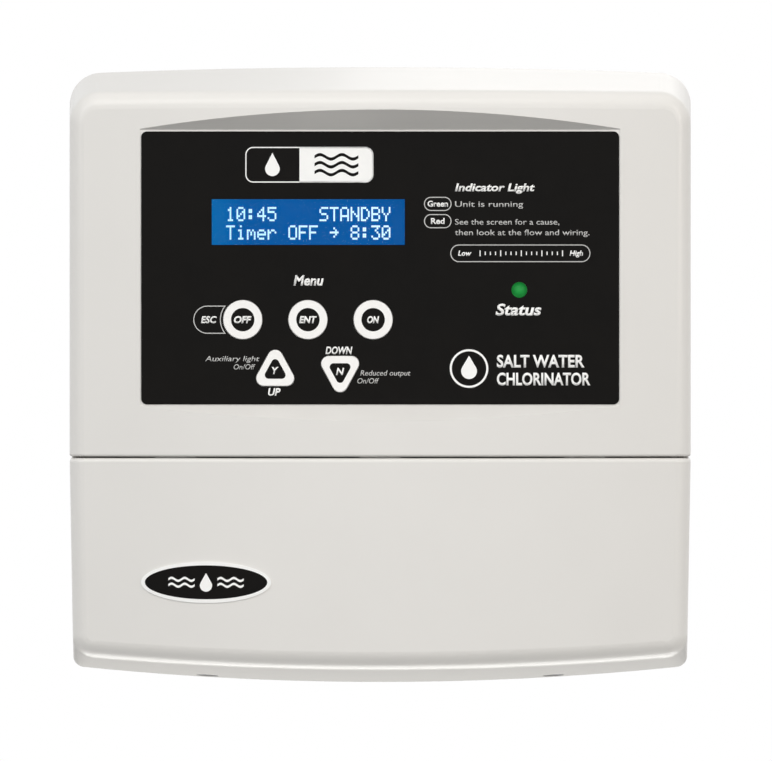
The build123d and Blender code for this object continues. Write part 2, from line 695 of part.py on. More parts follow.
def make_front_housing():
    with BuildPart() as hollow:
        add(front_form(WALL, 0))
        split(bisect_by=Plane.XY.offset(SEAM + WALL), keep=Keep.TOP)
        add(panel_recess(WALL), mode=Mode.SUBTRACT)
        for x, z in CASE_SCREWS:
            disc(x, z, FRONT_BOSS, PARTING, NOSE, Mode.SUBTRACT)
        for x, z in control_posts():
            disc(x, z, POST_RADIUS, CONTROL_FRONT, NOSE, Mode.SUBTRACT)
    with BuildPart() as housing:
        add(front_form(0, 0))
        split(bisect_by=Plane.XY.offset(SEAM), keep=Keep.TOP)
        fillet(housing.faces().sort_by(Axis.Z)[0].edges().sort_by(Axis.Y)[:-1], SEAM_ROUND)
        add(hollow.part, mode=Mode.SUBTRACT)
        add(panel_recess(0), mode=Mode.SUBTRACT)
        for x, z in CASE_SCREWS:
            disc(
                x, z, CASE_SCREW_SHANK + PILOT_CLEARANCE,
                PARTING - THROUGH, PARTING + CASE_SCREW_BITE + PILOT_SPARE, Mode.SUBTRACT,
            )
        for x, z in control_posts():
            disc(
                x, z, SMALL_SHANK + PILOT_CLEARANCE,
                CONTROL_FRONT - THROUGH, CONTROL_FRONT + SMALL_BITE + THROUGH, Mode.SUBTRACT,
            )
        cut_panel_seat()
        for x in TONGUE_X:
            floor_block(
                x, tongue_depth(x), TONGUE_WIDTH + 2 * TONGUE_GAP, TONGUE_THICKNESS + 2 * TONGUE_GAP,
                SEAM - THROUGH, SEAM + WALL + THROUGH, Mode.SUBTRACT,
            )
    write(housing, "front_housing")


def tongue_depth(x):
    """Depth of the middle of the cover's tongue at x, just inside the bowed wall."""
    face = NOSE - bow_sag(abs(x) + TONGUE_WIDTH / 2)
    return face - WALL - TONGUE_GAP - TONGUE_THICKNESS / 2 - TONGUE_SETBACK


def cover_hollow(top):
    """The space inside the wiring cover, less its tongues' roots, ribs and screw bosses."""
    rib_near = PARTING + 2 * COVER_GAP
    rib_height = RAIL_TOP - RAIL_BOTTOM
    rib_x = CASE_WIDTH / 2 - RAIL_INSET + RAIL_WEB + COVER_GAP + RAIL_INSET / 2
    with BuildPart() as hollow:
        add(front_form(WALL, LEAN))
        split(bisect_by=Plane.XY.offset(top), keep=Keep.BOTTOM)
        for x in TONGUE_X:
            near = tongue_depth(x) - TONGUE_THICKNESS / 2
            slab(x, top - TONGUE_ROOT / 2, TONGUE_WIDTH, TONGUE_ROOT, near, NOSE, Mode.SUBTRACT)
        for side in (-1, 1):
            slab(
                side * rib_x, RAIL_BOTTOM + rib_height / 2, RAIL_INSET, rib_height,
                rib_near, rib_near + RIB_THICKNESS, Mode.SUBTRACT,
            )
            upright(
                side * LUG_X, LUG_DEPTH, COVER_BOSS, CASE_BOTTOM, LUG_BOTTOM - COVER_GAP,
                Mode.SUBTRACT,
            )
    return hollow.part


def make_wiring_cover():
    top = SEAM - SEAM_GAP
    land = cover_land()
    with BuildPart() as cover:
        add(front_form(0, LEAN))
        split(bisect_by=Plane.XY.offset(top), keep=Keep.BOTTOM)
        fillet(cover.faces().sort_by(Axis.Z)[-1].edges().sort_by(Axis.Y)[:-1], COVER_ROUND)
        add(cover_hollow(top), mode=Mode.SUBTRACT)
        split(bisect_by=Plane.XZ.offset(PARTING + COVER_GAP), keep=Keep.TOP)
        for x in TONGUE_X:
            floor_block(
                x, tongue_depth(x), TONGUE_WIDTH, TONGUE_THICKNESS,
                top - TONGUE_ROOT, top + TONGUE_HEIGHT,
            )
        for side in (-1, 1):
            upright(
                side * LUG_X, LUG_DEPTH, COVER_SCREW_HEAD + SCREW_CLEARANCE,
                CASE_BOTTOM - THROUGH, land, Mode.SUBTRACT,
            )
            upright(
                side * LUG_X, LUG_DEPTH, COVER_SCREW_SHANK + SCREW_CLEARANCE,
                land - THROUGH, LUG_BOTTOM, Mode.SUBTRACT,
            )
        add(badge_plate(BADGE_THICKNESS), mode=Mode.SUBTRACT)
    write(cover, "wiring_cover")


def badge_plate(thickness):
    """An oval plate bent to the cover's bow, its back a little below the cover's face."""
    with BuildPart() as plate:
        with BuildSketch(Plane.XZ.offset(PARTING)):
            with Locations((BADGE_X, BADGE_Z)):
                Ellipse(BADGE_WIDTH / 2, BADGE_HEIGHT / 2)
        extrude(amount=NOSE)
        for radius, mode in (
            (BOW_RADIUS - BADGE_SUNK + thickness, Mode.INTERSECT),
            (BOW_RADIUS - BADGE_SUNK, Mode.SUBTRACT),
        ):
            with BuildSketch(Plane.XY.offset(CASE_BOTTOM)) as bow:
                with Locations((0, BOW_RADIUS - NOSE)):
                    Circle(radius)
            extrude(bow.sketch, amount=CASE_HEIGHT, mode=mode)
    return plate.part


def make_cover_badge():
    with BuildPart() as badge:
        add(badge_plate(BADGE_THICKNESS))
    write(badge, "cover_badge")


# ---------------------------------------------------------------- control panel
def make_panel_overlay():
    with BuildPart() as overlay:
        with BuildSketch(Plane.XZ.offset(SEAT)):
            with Locations((0, PANEL_Z)):
                RectangleRounded(PANEL_WIDTH, PANEL_HEIGHT, PANEL_CORNER)
            with Locations((DISPLAY_X, DISPLAY_Z)):
                Rectangle(DISPLAY_WIDTH, DISPLAY_HEIGHT, mode=Mode.SUBTRACT)
            with Locations((LED_X, LED_Z)):
                Circle(LED_RADIUS + LED_GAP, mode=Mode.SUBTRACT)
        extrude(amount=OVERLAY_THICKNESS)
        for key in KEYS:
            through = key_face(key, SEAT - THROUGH, KEY_GAP)
            extrude(through, amount=OVERLAY_THICKNESS + 2 * THROUGH, mode=Mode.SUBTRACT)
    write(overlay, "panel_overlay")


def make_display_window():
    with BuildPart() as window:
        slab(DISPLAY_X, DISPLAY_Z, DISPLAY_WIDTH, DISPLAY_HEIGHT, SEAT, OVERLAY_FRONT)
    write(window, "display_window")


def make_key(key):
    """A key's cap with its stem, and the button of the switch that it presses."""
    x, z, _ = KEYS[key]
    with BuildPart() as cap:
        extrude(key_face(key, KEY_BACK), amount=KEY_THICKNESS)
        fillet(cap.faces().sort_by(Axis.Y)[0].edges(), KEY_EDGE)
        disc(x, z, STEM_RADIUS, STEM_BACK, KEY_BACK)
    write(cap, f"{key}_key")
    with BuildPart() as button:
        disc(x, z, BUTTON_RADIUS, SWITCH_FLOOR + KEY_TRAVEL + KEY_OVERTRAVEL, STEM_BACK)
    write(button, f"{key}_key_button")


def make_key_switches():
    top = CONTROL_FRONT + SWITCH_HEIGHT
    with BuildPart() as switches:
        for x, z, _ in KEYS.values():
            slab(x, z, SWITCH_SIZE, SWITCH_SIZE, CONTROL_FRONT, top)
            disc(x, z, BUTTON_RADIUS + BUTTON_GAP, SWITCH_FLOOR, top + THROUGH, Mode.SUBTRACT)
    write(switches, "key_switches")


def make_status_led():
    foot = CONTROL_FRONT + LED_HOLDER_HEIGHT
    with BuildPart() as led:
        disc(LED_X, LED_Z, LED_RADIUS, foot, OVERLAY_FRONT + LED_PROUD)
        fillet(led.faces().sort_by(Axis.Y)[0].edges(), LED_DOME)
        disc(LED_X, LED_Z, LED_RADIUS + LED_FLANGE, foot, foot + LED_FLANGE_HEIGHT)
    write(led, "status_led")


def make_led_holder():
    foot = CONTROL_FRONT + LED_HOLDER_HEIGHT
    with BuildPart() as holder:
        disc(LED_X, LED_Z, LED_HOLDER_RADIUS, CONTROL_FRONT, foot)
        disc(
            LED_X, LED_Z, LED_LEAD_HOLE, CONTROL_FRONT - THROUGH, foot + THROUGH, Mode.SUBTRACT
        )
    write(holder, "led_holder")


def make_display():
    centre = (DISPLAY_X, DISPLAY_Z)
    inner_width = BEZEL_WIDTH - 2 * BEZEL_SHEET
    inner_height = BEZEL_HEIGHT - 2 * BEZEL_SHEET
    glass_front = BEZEL_FRONT - BEZEL_SHEET
    glass_back = glass_front - GLASS_THICKNESS
    with BuildPart() as bezel:
        slab(*centre, BEZEL_WIDTH, BEZEL_HEIGHT, DISPLAY_BOARD_FRONT, BEZEL_FRONT)
        fillet(bezel.faces().sort_by(Axis.Y)[0].edges(), BEZEL_SHEET / 2)
        slab(*centre, inner_width, inner_height, 0, glass_front, Mode.SUBTRACT)
        slab(*centre, DISPLAY_WIDTH, DISPLAY_HEIGHT, 0, NOSE, Mode.SUBTRACT)
    write(bezel, "display_bezel")
    with BuildPart() as glass:
        slab(*centre, inner_width, inner_height, glass_back, glass_front)
    write(glass, "display_glass")
    with BuildPart() as backlight:
        slab(*centre, inner_width, inner_height, DISPLAY_BOARD_FRONT, glass_back)
    write(backlight, "display_backlight")
    with BuildPart() as board:
        slab(
            *centre, DISPLAY_BOARD_WIDTH, DISPLAY_BOARD_HEIGHT,
            DISPLAY_BOARD_BACK, DISPLAY_BOARD_FRONT,
        )
        for x, z in display_holes():
            disc(x, z, DISPLAY_HOLE, 0, NOSE, Mode.SUBTRACT)
    write(board, "display_board")
    with BuildPart() as spacers:
        for x, z in display_holes():
            disc(x, z, SPACER_RADIUS, CONTROL_FRONT, DISPLAY_BOARD_BACK)
    write(spacers, "display_spacers")


def display_holes():
    width = DISPLAY_BOARD_WIDTH - 2 * DISPLAY_HOLE_INSET
    height = DISPLAY_BOARD_HEIGHT - 2 * DISPLAY_HOLE_INSET
    return corners(width, height, DISPLAY_X, DISPLAY_Z)


def control_posts():
    width = CONTROL_BOARD_WIDTH - 2 * POST_INSET
    height = CONTROL_BOARD_HEIGHT - 2 * POST_INSET
    return corners(width, height, 0, PANEL_Z)


def make_control_board():
    with BuildPart() as board:
        slab(
            0, PANEL_Z, CONTROL_BOARD_WIDTH, CONTROL_BOARD_HEIGHT, CONTROL_BACK, CONTROL_FRONT
        )
        for x, z in control_posts():
            disc(x, z, SMALL_SHANK + SCREW_CLEARANCE, 0, NOSE, Mode.SUBTRACT)
    write(board, "control_board")


def make_control_chips():
    """Packages on the back of the control board, where they clear the panel."""
    with BuildPart() as packages:
        for x, z, width, height, thickness in CONTROL_CHIPS:
            slab(x, z, width, height, CONTROL_BACK - thickness, CONTROL_BACK)
    write(packages, "control_chips")


def small_screw(x, z, seat, forward):
    """A pan-head screw driven from behind (forward=1) or from the front (forward=-1)."""
    head = seat - forward * SMALL_HEAD_HEIGHT
    tip = seat + forward * SMALL_BITE
    drive = head + forward * DRIVE_DEPTH
    disc(x, z, SMALL_HEAD, min(head, seat), max(head, seat))
    disc(x, z, SMALL_SHANK, min(seat, tip), max(seat, tip))
    cross_slot(x, z, SMALL_HEAD, SMALL_DRIVE_WIDTH, min(head, drive), max(head, drive))


def make_control_screws():
    with BuildPart() as screws:
        for x, z in control_posts():
            small_screw(x, z, CONTROL_BACK, 1)
    write(screws, "control_board_screws")


# ---------------------------------------------------------------- power electronics
def power_holes():
    width = POWER_WIDTH - 2 * STANDOFF_INSET
    height = POWER_HEIGHT - 2 * STANDOFF_INSET
    return corners(width, height, POWER_X, POWER_Z)


def make_power_board():
    with BuildPart() as board:
        slab(POWER_X, POWER_Z, POWER_WIDTH, POWER_HEIGHT, POWER_BACK, POWER_FRONT)
        for x, z in power_holes():
            disc(x, z, SMALL_SHANK + SCREW_CLEARANCE, 0, PARTING, Mode.SUBTRACT)
    write(board, "power_board")
    with BuildPart() as screws:
        for x, z in power_holes():
            small_screw(x, z, POWER_FRONT, -1)
    write(screws, "power_board_screws")


def make_transformer():
    at = (TOROID_X, TOROID_Z)
    rear_pad = TOROID_SEAT + PAD_THICKNESS
    front = rear_pad + TOROID_HEIGHT
    plate = front + PAD_THICKNESS
    top = plate + PLATE_THICKNESS
    pad_radius = TOROID_RADIUS - PAD_MARGIN
    with BuildPart() as winding:
        disc(*at, TOROID_RADIUS, rear_pad, front)
        disc(*at, TOROID_HOLE, 0, NOSE, Mode.SUBTRACT)
        fillet(winding.edges().filter_by(GeomType.CIRCLE), min(TOROID_ROUND, TOROID_HEIGHT / 3))
    write(winding, "transformer")
    with BuildPart() as pads:
        for near in (TOROID_SEAT, front):
            disc(*at, pad_radius, near, near + PAD_THICKNESS)
        disc(*at, TOROID_HOLE, 0, NOSE, Mode.SUBTRACT)
    write(pads, "transformer_pads")
    with BuildPart() as clamp:
        disc(*at, PLATE_RADIUS, plate, top)
        disc(*at, BOLT_RADIUS + BOLT_GAP, 0, NOSE, Mode.SUBTRACT)
    write(clamp, "transformer_plate")
    with BuildPart() as bolt:
        with BuildSketch(Plane.XZ.offset(top)):
            with Locations(at):
                RegularPolygon(BOLT_HEAD / 2, 6, major_radius=False)
        extrude(amount=BOLT_HEAD_HEIGHT)
        disc(*at, BOLT_RADIUS, plate - BOLT_BITE, top)
    write(bolt, "transformer_bolt")


def on_power_board(places):
    """Places measured from the power board's middle, as places in the case."""
    return [(POWER_X + x, POWER_Z + z) for x, z in places]


def make_capacitors():
    with BuildPart() as cans:
        for x, z in on_power_board(CAN_PLACES):
            disc(x, z, CAN_RADIUS, POWER_FRONT, POWER_FRONT + CAN_HEIGHT)
        fillet(cans.faces().group_by(Axis.Y)[0].edges(), CAN_ROUND)
    write(cans, "filter_capacitors")


def make_heatsink():
    x = POWER_X + SINK_X
    z = POWER_Z + SINK_Z
    fin_x = x + SINK_SHEET / 2 - FIN_ROOT + FIN_REACH / 2
    pitch = (SINK_HEIGHT - SINK_SHEET) / (FIN_COUNT - 1)
    with BuildPart() as sink:
        slab(x, z, SINK_SHEET, SINK_LENGTH, POWER_FRONT, POWER_FRONT + SINK_HEIGHT)
        for i in range(FIN_COUNT):
            near = POWER_FRONT + FIN_MARGIN + i * pitch
            slab(fin_x, z, FIN_REACH, SINK_LENGTH, near, near + FIN_THICKNESS)
    write(sink, "heatsink")
    bridge_x = x - (SINK_SHEET + BRIDGE_THICKNESS) / 2
    with BuildPart() as bridge:
        slab(
            bridge_x, POWER_Z, BRIDGE_THICKNESS, BRIDGE_LENGTH,
            POWER_FRONT + BRIDGE_BOTTOM, POWER_FRONT + BRIDGE_TOP,
        )
    write(bridge, "bridge_rectifier")


def make_relays():
    with BuildPart() as relays:
        for x, z in on_power_board(RELAY_PLACES):
            slab(x, z, RELAY_WIDTH, RELAY_LENGTH, POWER_FRONT, POWER_FRONT + RELAY_HEIGHT)
        fillet(relays.faces().group_by(Axis.Y)[0].edges(), RELAY_ROUND)
    write(relays, "relays")


def fuse_tube(x, z, length, mode=Mode.ADD):
    """A round bar along X at the fuse's height over the power board, centred on x."""
    with BuildSketch(Plane.YZ.offset(x - length / 2)) as end:
        with Locations((-(POWER_FRONT + FUSE_HEIGHT), z)):
            Circle(FUSE_RADIUS)
    extrude(end.sketch, amount=length, mode=mode)


def make_fuse():
    (x, z), = on_power_board([(FUSE_X, FUSE_Z)])
    with BuildPart() as fuse:
        fuse_tube(x, z, FUSE_LENGTH)
    write(fuse, "fuse")
    with BuildPart() as clips:
        for side in (-1, 1):
            slab(
                x + side * (FUSE_LENGTH / 2 - CLIP_INSET), z, CLIP_LENGTH, CLIP_WIDTH,
                POWER_FRONT, POWER_FRONT + FUSE_HEIGHT,
            )
        fuse_tube(x, z, 2 * FUSE_LENGTH, Mode.SUBTRACT)
    write(clips, "fuse_clips")


def make_ribbon():
    top = POWER_FRONT + HEADER_HEIGHT
    bottom = CONTROL_BACK - HEADER_HEIGHT
    with BuildPart() as headers:
        slab(RIBBON_X, POWER_HEADER_Z, HEADER_WIDTH, HEADER_THICKNESS, POWER_FRONT, top)
        slab(RIBBON_X, CONTROL_HEADER_Z, HEADER_WIDTH, HEADER_THICKNESS, bottom, CONTROL_BACK)
    write(headers, "ribbon_headers")
    middle = (top + bottom) / 2
    with BuildPart() as ribbon:
        with BuildSketch(Plane.YZ.offset(RIBBON_X - RIBBON_WIDTH / 2)):
            with BuildLine():
                FilletPolyline(
                    (-top, POWER_HEADER_Z),
                    (-(middle - RIBBON_BEND), POWER_HEADER_Z),
                    (-(middle + RIBBON_BEND), CONTROL_HEADER_Z),
                    (-bottom, CONTROL_HEADER_Z),
                    radius=RIBBON_BEND,
                )
            trace(line_width=RIBBON_THICKNESS)
        extrude(amount=RIBBON_WIDTH)
    write(ribbon, "ribbon_cable")


def make_leads():
    """Leads from the transformer's rim to the block on the power board."""
    block_top = POWER_FRONT + LEAD_BLOCK_HEIGHT
    rim = TOROID_RADIUS / 2**0.5
    start_x = TOROID_X + rim
    start_z = TOROID_Z - rim
    level = TOROID_SEAT + TOROID_HEIGHT / 2 + LEAD_RISE
    with BuildPart() as block:
        slab(
            LEAD_BLOCK_X, LEAD_BLOCK_Z, LEAD_COUNT * LEAD_PITCH + 2 * LEAD_BLOCK_MARGIN,
            LEAD_BLOCK_THICKNESS, POWER_FRONT, block_top,
        )
    write(block, "lead_block")
    with BuildPart() as leads:
        for i in range(LEAD_COUNT):
            place = i - (LEAD_COUNT - 1) / 2
            x = LEAD_BLOCK_X + place * LEAD_PITCH
            depth = level + place * LEAD_PITCH / 2
            with BuildLine() as route:
                FilletPolyline(
                    (start_x + LEAD_OUT, -depth, start_z - LEAD_OUT),
                    (start_x + LEAD_TURN_X, -depth, LEAD_BLOCK_Z - place * LEAD_STEP),
                    (x, -depth, LEAD_BLOCK_Z),
                    (x, -block_top, LEAD_BLOCK_Z),
                    radius=LEAD_BEND,
                )
            with BuildSketch(Plane(route.line @ 0, z_dir=route.line % 0)):
                Circle(LEAD_RADIUS)
            sweep(path=route.line)
    write(leads, "transformer_leads")


# ---------------------------------------------------------------- wiring compartment
def terminal_fixings():
    reach = TERMINAL_LENGTH / 2 - TERMINAL_FIXING_INSET
    return (-reach, reach)


def terminal_places():
    """Where the clamping screws are, two to each way."""
    middle = (TERMINAL_WAYS - 1) / 2
    return [
        ((i - middle) * TERMINAL_PITCH, TERMINAL_Z + row * TERMINAL_HEIGHT / 4)
        for i in range(TERMINAL_WAYS)
        for row in (-1, 1)
    ]


def make_terminal_strip():
    front = BOSS_FLOOR + TERMINAL_DEPTH
    deck = front - TERMINAL_FIN_HEIGHT
    well = front - TERMINAL_WELL
    head = BOSS_FLOOR + TERMINAL_FIXING_LAND
    with BuildPart() as strip:
        slab(0, TERMINAL_Z, TERMINAL_LENGTH, TERMINAL_HEIGHT, BOSS_FLOOR, deck)
        for i in range(TERMINAL_WAYS + 1):
            x = (i - TERMINAL_WAYS / 2) * TERMINAL_PITCH
            slab(x, TERMINAL_Z, TERMINAL_FIN, TERMINAL_HEIGHT, deck, front)
        slab(0, TERMINAL_Z, TERMINAL_WAYS * TERMINAL_PITCH, TERMINAL_FIN, deck, front)
        for x, z in terminal_places():
            disc(x, z, TERMINAL_SCREW + TERMINAL_SCREW_GAP, well, front, Mode.SUBTRACT)
        for x in terminal_fixings():
            disc(x, TERMINAL_Z, SMALL_SHANK + SCREW_CLEARANCE, 0, NOSE, Mode.SUBTRACT)
            disc(x, TERMINAL_Z, SMALL_HEAD + SCREW_CLEARANCE, head, NOSE, Mode.SUBTRACT)
    write(strip, "terminal_strip")
    screw_top = well + TERMINAL_SCREW_HEIGHT
    with BuildPart() as screws:
        for x, z in terminal_places():
            disc(x, z, TERMINAL_SCREW, well, screw_top)
            slab(
                x, z, 2 * TERMINAL_SCREW, SMALL_DRIVE_WIDTH,
                screw_top - TERMINAL_DRIVE_DEPTH, screw_top, Mode.SUBTRACT,
            )
    write(screws, "terminal_screws")
    with BuildPart() as fixings:
        for x in terminal_fixings():
            disc(x, TERMINAL_Z, SMALL_HEAD, head, head + SMALL_HEAD_HEIGHT)
            disc(x, TERMINAL_Z, SMALL_SHANK, POCKET_FLOOR + FIXING_SKIN + FIXING_TIP_GAP, head)
    write(fixings, "terminal_fixing_screws")


def make_glands():
    """The two cable glands: body, rubber seal, dome nut outside and locknut inside."""
    roof = GLAND_SEAT + REAR_WALL
    flange_bottom = GLAND_SEAT - GLAND_FLANGE_HEIGHT
    collar_bottom = flange_bottom - GLAND_COLLAR_HEIGHT
    dome_bottom = flange_bottom - GLAND_DOME_HEIGHT
    seal_bottom = dome_bottom + GLAND_DOME_FLOOR
    thread_top = roof + LOCKNUT_HEIGHT + GLAND_THREAD_SPARE
    nut_hole = GLAND_THREAD + PILOT_CLEARANCE
    glands = [
        (side * GLAND_X, bore, min(bore + SEAL_WALL, GLAND_THREAD - GLAND_THREAD_WALL))
        for side, bore in GLAND_BORES.items()
    ]
    with BuildPart() as bodies:
        for x, bore, seal in glands:
            hexagon(x, GLAND_DEPTH, GLAND_FLANGE, flange_bottom, GLAND_SEAT)
            upright(x, GLAND_DEPTH, GLAND_THREAD, collar_bottom, thread_top)
            upright(
                x, GLAND_DEPTH, bore + GLAND_BORE_GAP, collar_bottom, thread_top, Mode.SUBTRACT
            )
            upright(
                x, GLAND_DEPTH, seal, collar_bottom - THROUGH, flange_bottom, Mode.SUBTRACT
            )
    write(bodies, "gland_bodies")
    with BuildPart() as domes:
        for x, bore, seal in glands:
            upright(x, GLAND_DEPTH, GLAND_DOME_RADIUS, dome_bottom, flange_bottom)
        fillet(domes.faces().group_by(Axis.Z)[0].edges(), GLAND_DOME_ROUND)
        for x, bore, seal in glands:
            inside = collar_bottom - GLAND_END_GAP
            upright(x, GLAND_DEPTH, nut_hole, inside, flange_bottom + THROUGH, Mode.SUBTRACT)
            upright(x, GLAND_DEPTH, seal, seal_bottom, collar_bottom + THROUGH, Mode.SUBTRACT)
            upright(
                x, GLAND_DEPTH, bore + DOME_BORE_GAP, dome_bottom - THROUGH, flange_bottom,
                Mode.SUBTRACT,
            )
    write(domes, "gland_domes")
    with BuildPart() as seals:
        for x, bore, seal in glands:
            upright(x, GLAND_DEPTH, seal, seal_bottom, flange_bottom)
            upright(
                x, GLAND_DEPTH, bore, seal_bottom - THROUGH, flange_bottom + THROUGH, Mode.SUBTRACT
            )
    write(seals, "gland_seals")
    with BuildPart() as locknuts:
        for x, bore, seal in glands:
            hexagon(x, GLAND_DEPTH, LOCKNUT_SIZE, roof, roof + LOCKNUT_HEIGHT)
            upright(
                x, GLAND_DEPTH, nut_hole, roof - THROUGH, roof + LOCKNUT_HEIGHT + THROUGH,
                Mode.SUBTRACT,
            )
    write(locknuts, "gland_locknuts")


def make_pump_outlet():
    """The socket under the case that the pool pump plugs into."""
    face = GLAND_SEAT - OUTLET_PROUD
    top = GLAND_SEAT + OUTLET_NECK_HEIGHT
    pins = [
        (-PIN_PITCH, GLAND_DEPTH - PIN_ROW, -PIN_SPLAY),
        (PIN_PITCH, GLAND_DEPTH - PIN_ROW, PIN_SPLAY),
        (0, GLAND_DEPTH + EARTH_ROW, 0),
    ]
    with BuildPart() as outlet:
        floor_block(0, GLAND_DEPTH, OUTLET_WIDTH, OUTLET_DEPTH, face, GLAND_SEAT)
        fillet(outlet.edges().filter_by(Axis.Z), OUTLET_CORNER)
        floor_block(0, GLAND_DEPTH, OUTLET_NECK_WIDTH, OUTLET_NECK_DEPTH, GLAND_SEAT, top)
        with BuildSketch(Plane.XY.offset(face)) as slots:
            for x, depth, turn in pins:
                with Locations((x, -depth)):
                    Rectangle(PIN_SLOT_WIDTH, PIN_SLOT_LENGTH, rotation=turn)
        extrude(slots.sketch, amount=PIN_REACH, mode=Mode.SUBTRACT)
    write(outlet, "pump_outlet")


def cover_land():
    """Height of the shoulder in the cover's underside that its screws' heads pull on."""
    share = (LUG_DEPTH - PARTING) / (NOSE - PARTING)
    crown = BOTTOM_CROWN * (2 * LUG_X / CASE_WIDTH) ** 2
    underside = CASE_BOTTOM + BOTTOM_SLOPE * share + crown
    return underside + COVER_SCREW_SUNK + COVER_SCREW_HEAD_HEIGHT


def make_cover_screws():
    """The cover's two screws, driven upwards into the rear shell's lugs."""
    land = cover_land()
    head = land - COVER_SCREW_HEAD_HEIGHT
    drive = head + DRIVE_DEPTH
    tip = LUG_BOTTOM + LUG_HEIGHT - LUG_ROOF - LUG_TIP_GAP
    with BuildPart() as screws:
        for side in (-1, 1):
            x = side * LUG_X
            upright(x, LUG_DEPTH, COVER_SCREW_HEAD, head, land)
            upright(x, LUG_DEPTH, COVER_SCREW_SHANK, land, tip)
            for length, width in ((DRIVE_LENGTH, DRIVE_WIDTH), (DRIVE_WIDTH, DRIVE_LENGTH)):
                floor_block(x, LUG_DEPTH, length, width, head, drive, Mode.SUBTRACT)
    write(screws, "cover_screws")


def make_housing_screws():
    head = CASE_SCREW_LAND - CASE_SCREW_HEAD_HEIGHT
    with BuildPart() as screws:
        for x, z in CASE_SCREWS:
            disc(x, z, CASE_SCREW_HEAD, head, CASE_SCREW_LAND)
            disc(x, z, CASE_SCREW_SHANK, CASE_SCREW_LAND, PARTING + CASE_SCREW_BITE)
            cross_slot(x, z, DRIVE_LENGTH, DRIVE_WIDTH, head, head + DRIVE_DEPTH)
    write(screws, "housing_screws")


os.makedirs("parts", exist_ok=True)
make_wall_bracket()
make_rear_shell()
make_housing_gasket()
make_front_housing()
make_wiring_cover()
make_cover_badge()
make_panel_overlay()
make_display_window()
for key_name in KEYS:
    make_key(key_name)
make_key_switches()
make_status_led()
make_led_holder()
make_display()
make_control_board()
make_control_chips()
make_control_screws()
make_power_board()
make_transformer()
make_capacitors()
make_heatsink()
make_relays()
make_fuse()
make_ribbon()
make_leads()
make_terminal_strip()
make_glands()
make_pump_outlet()
make_cover_screws()
make_housing_screws()
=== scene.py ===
import json
import math

import bmesh
import bpy
from mathutils import Matrix, Vector
from mathutils.bvhtree import BVHTree


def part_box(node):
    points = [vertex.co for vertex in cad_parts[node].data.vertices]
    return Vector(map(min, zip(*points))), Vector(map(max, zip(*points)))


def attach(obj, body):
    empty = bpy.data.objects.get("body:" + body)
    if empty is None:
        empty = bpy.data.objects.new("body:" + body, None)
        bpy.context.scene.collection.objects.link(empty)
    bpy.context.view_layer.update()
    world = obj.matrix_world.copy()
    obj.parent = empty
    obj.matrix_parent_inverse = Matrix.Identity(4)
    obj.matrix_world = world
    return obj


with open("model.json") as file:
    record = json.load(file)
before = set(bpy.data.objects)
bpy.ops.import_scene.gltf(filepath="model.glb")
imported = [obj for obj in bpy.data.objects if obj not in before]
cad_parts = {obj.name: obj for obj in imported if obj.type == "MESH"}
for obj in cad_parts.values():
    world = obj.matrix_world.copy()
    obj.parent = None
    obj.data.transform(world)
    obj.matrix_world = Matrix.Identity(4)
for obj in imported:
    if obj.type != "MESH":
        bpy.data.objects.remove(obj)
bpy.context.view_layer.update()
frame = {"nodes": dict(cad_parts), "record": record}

# Looks of the wall-hung salt chlorine generator: finishes for every CAD node, the printing on
# the panel, the keys and the badge, the display's characters, then camera, floor and light.
# Places are in metres in the CAD frame; (x, z) is seen from the front, and MM turns millimetres.

MM = 0.001
scene = bpy.context.scene


# ---------------------------------------------------------------- node helpers
def srgb(red, green, blue, alpha=1.0):
    """A colour given in the usual 0 to 255 steps, as Blender's linear values."""
    linear = []
    for step in (red, green, blue):
        share = step / 255
        linear.append(share / 12.92 if share <= 0.04045 else ((share + 0.055) / 1.055) ** 2.4)
    return (*linear, alpha)


def node(tree, kind, inputs=None, **settings):
    """A new node with its settings and its inputs, where an input is a value or a socket."""
    made = tree.nodes.new(kind)
    for key, value in settings.items():
        setattr(made, key, value)
    for key, value in (inputs or {}).items():
        if isinstance(value, bpy.types.NodeSocket):
            tree.links.new(value, made.inputs[key])
        else:
            made.inputs[key].default_value = value
    return made


def new_material(name):
    material = bpy.data.materials.new(name)
    material.use_nodes = True
    tree = material.node_tree
    return material, tree, tree.nodes["Principled BSDF"]


def place(tree, stretch=(1, 1, 1), origin=(0, 0, 0)):
    """Object coordinates in metres, measured from an origin and stretched."""
    coordinates = node(tree, "ShaderNodeTexCoord")
    shift = node(tree, "ShaderNodeMapping", {
        "Vector": coordinates.outputs["Object"],
        "Location": [-o * s for o, s in zip(origin, stretch)],
        "Scale": stretch,
    })
    return shift.outputs["Vector"]


def noise(tree, at, size, detail=3.0, rough=0.5):
    """Smooth noise whose blotches are about size across."""
    made = node(tree, "ShaderNodeTexNoise", {
        "Vector": at, "Scale": 1 / size, "Detail": detail, "Roughness": rough,
    })
    return made.outputs["Fac"]


def spread(tree, value, low, high, start=0.15, end=0.85):
    """Stretches a value from start..end to low..high."""
    made = node(tree, "ShaderNodeMapRange", {
        "Value": value, "From Min": start, "From Max": end, "To Min": low, "To Max": high,
    })
    return made.outputs["Result"]


def mix(tree, share, first, second):
    """A colour between first and second."""
    made = node(tree, "ShaderNodeMix", {"Factor": share}, data_type="RGBA")
    for socket, value in ((made.inputs[6], first), (made.inputs[7], second)):
        if isinstance(value, bpy.types.NodeSocket):
            tree.links.new(value, socket)
        else:
            socket.default_value = value
    return made.outputs[2]


def math_node(tree, operation, first, second=0.0):
    made = node(tree, "ShaderNodeMath", {0: first, 1: second}, operation=operation)
    return made.outputs["Value"]


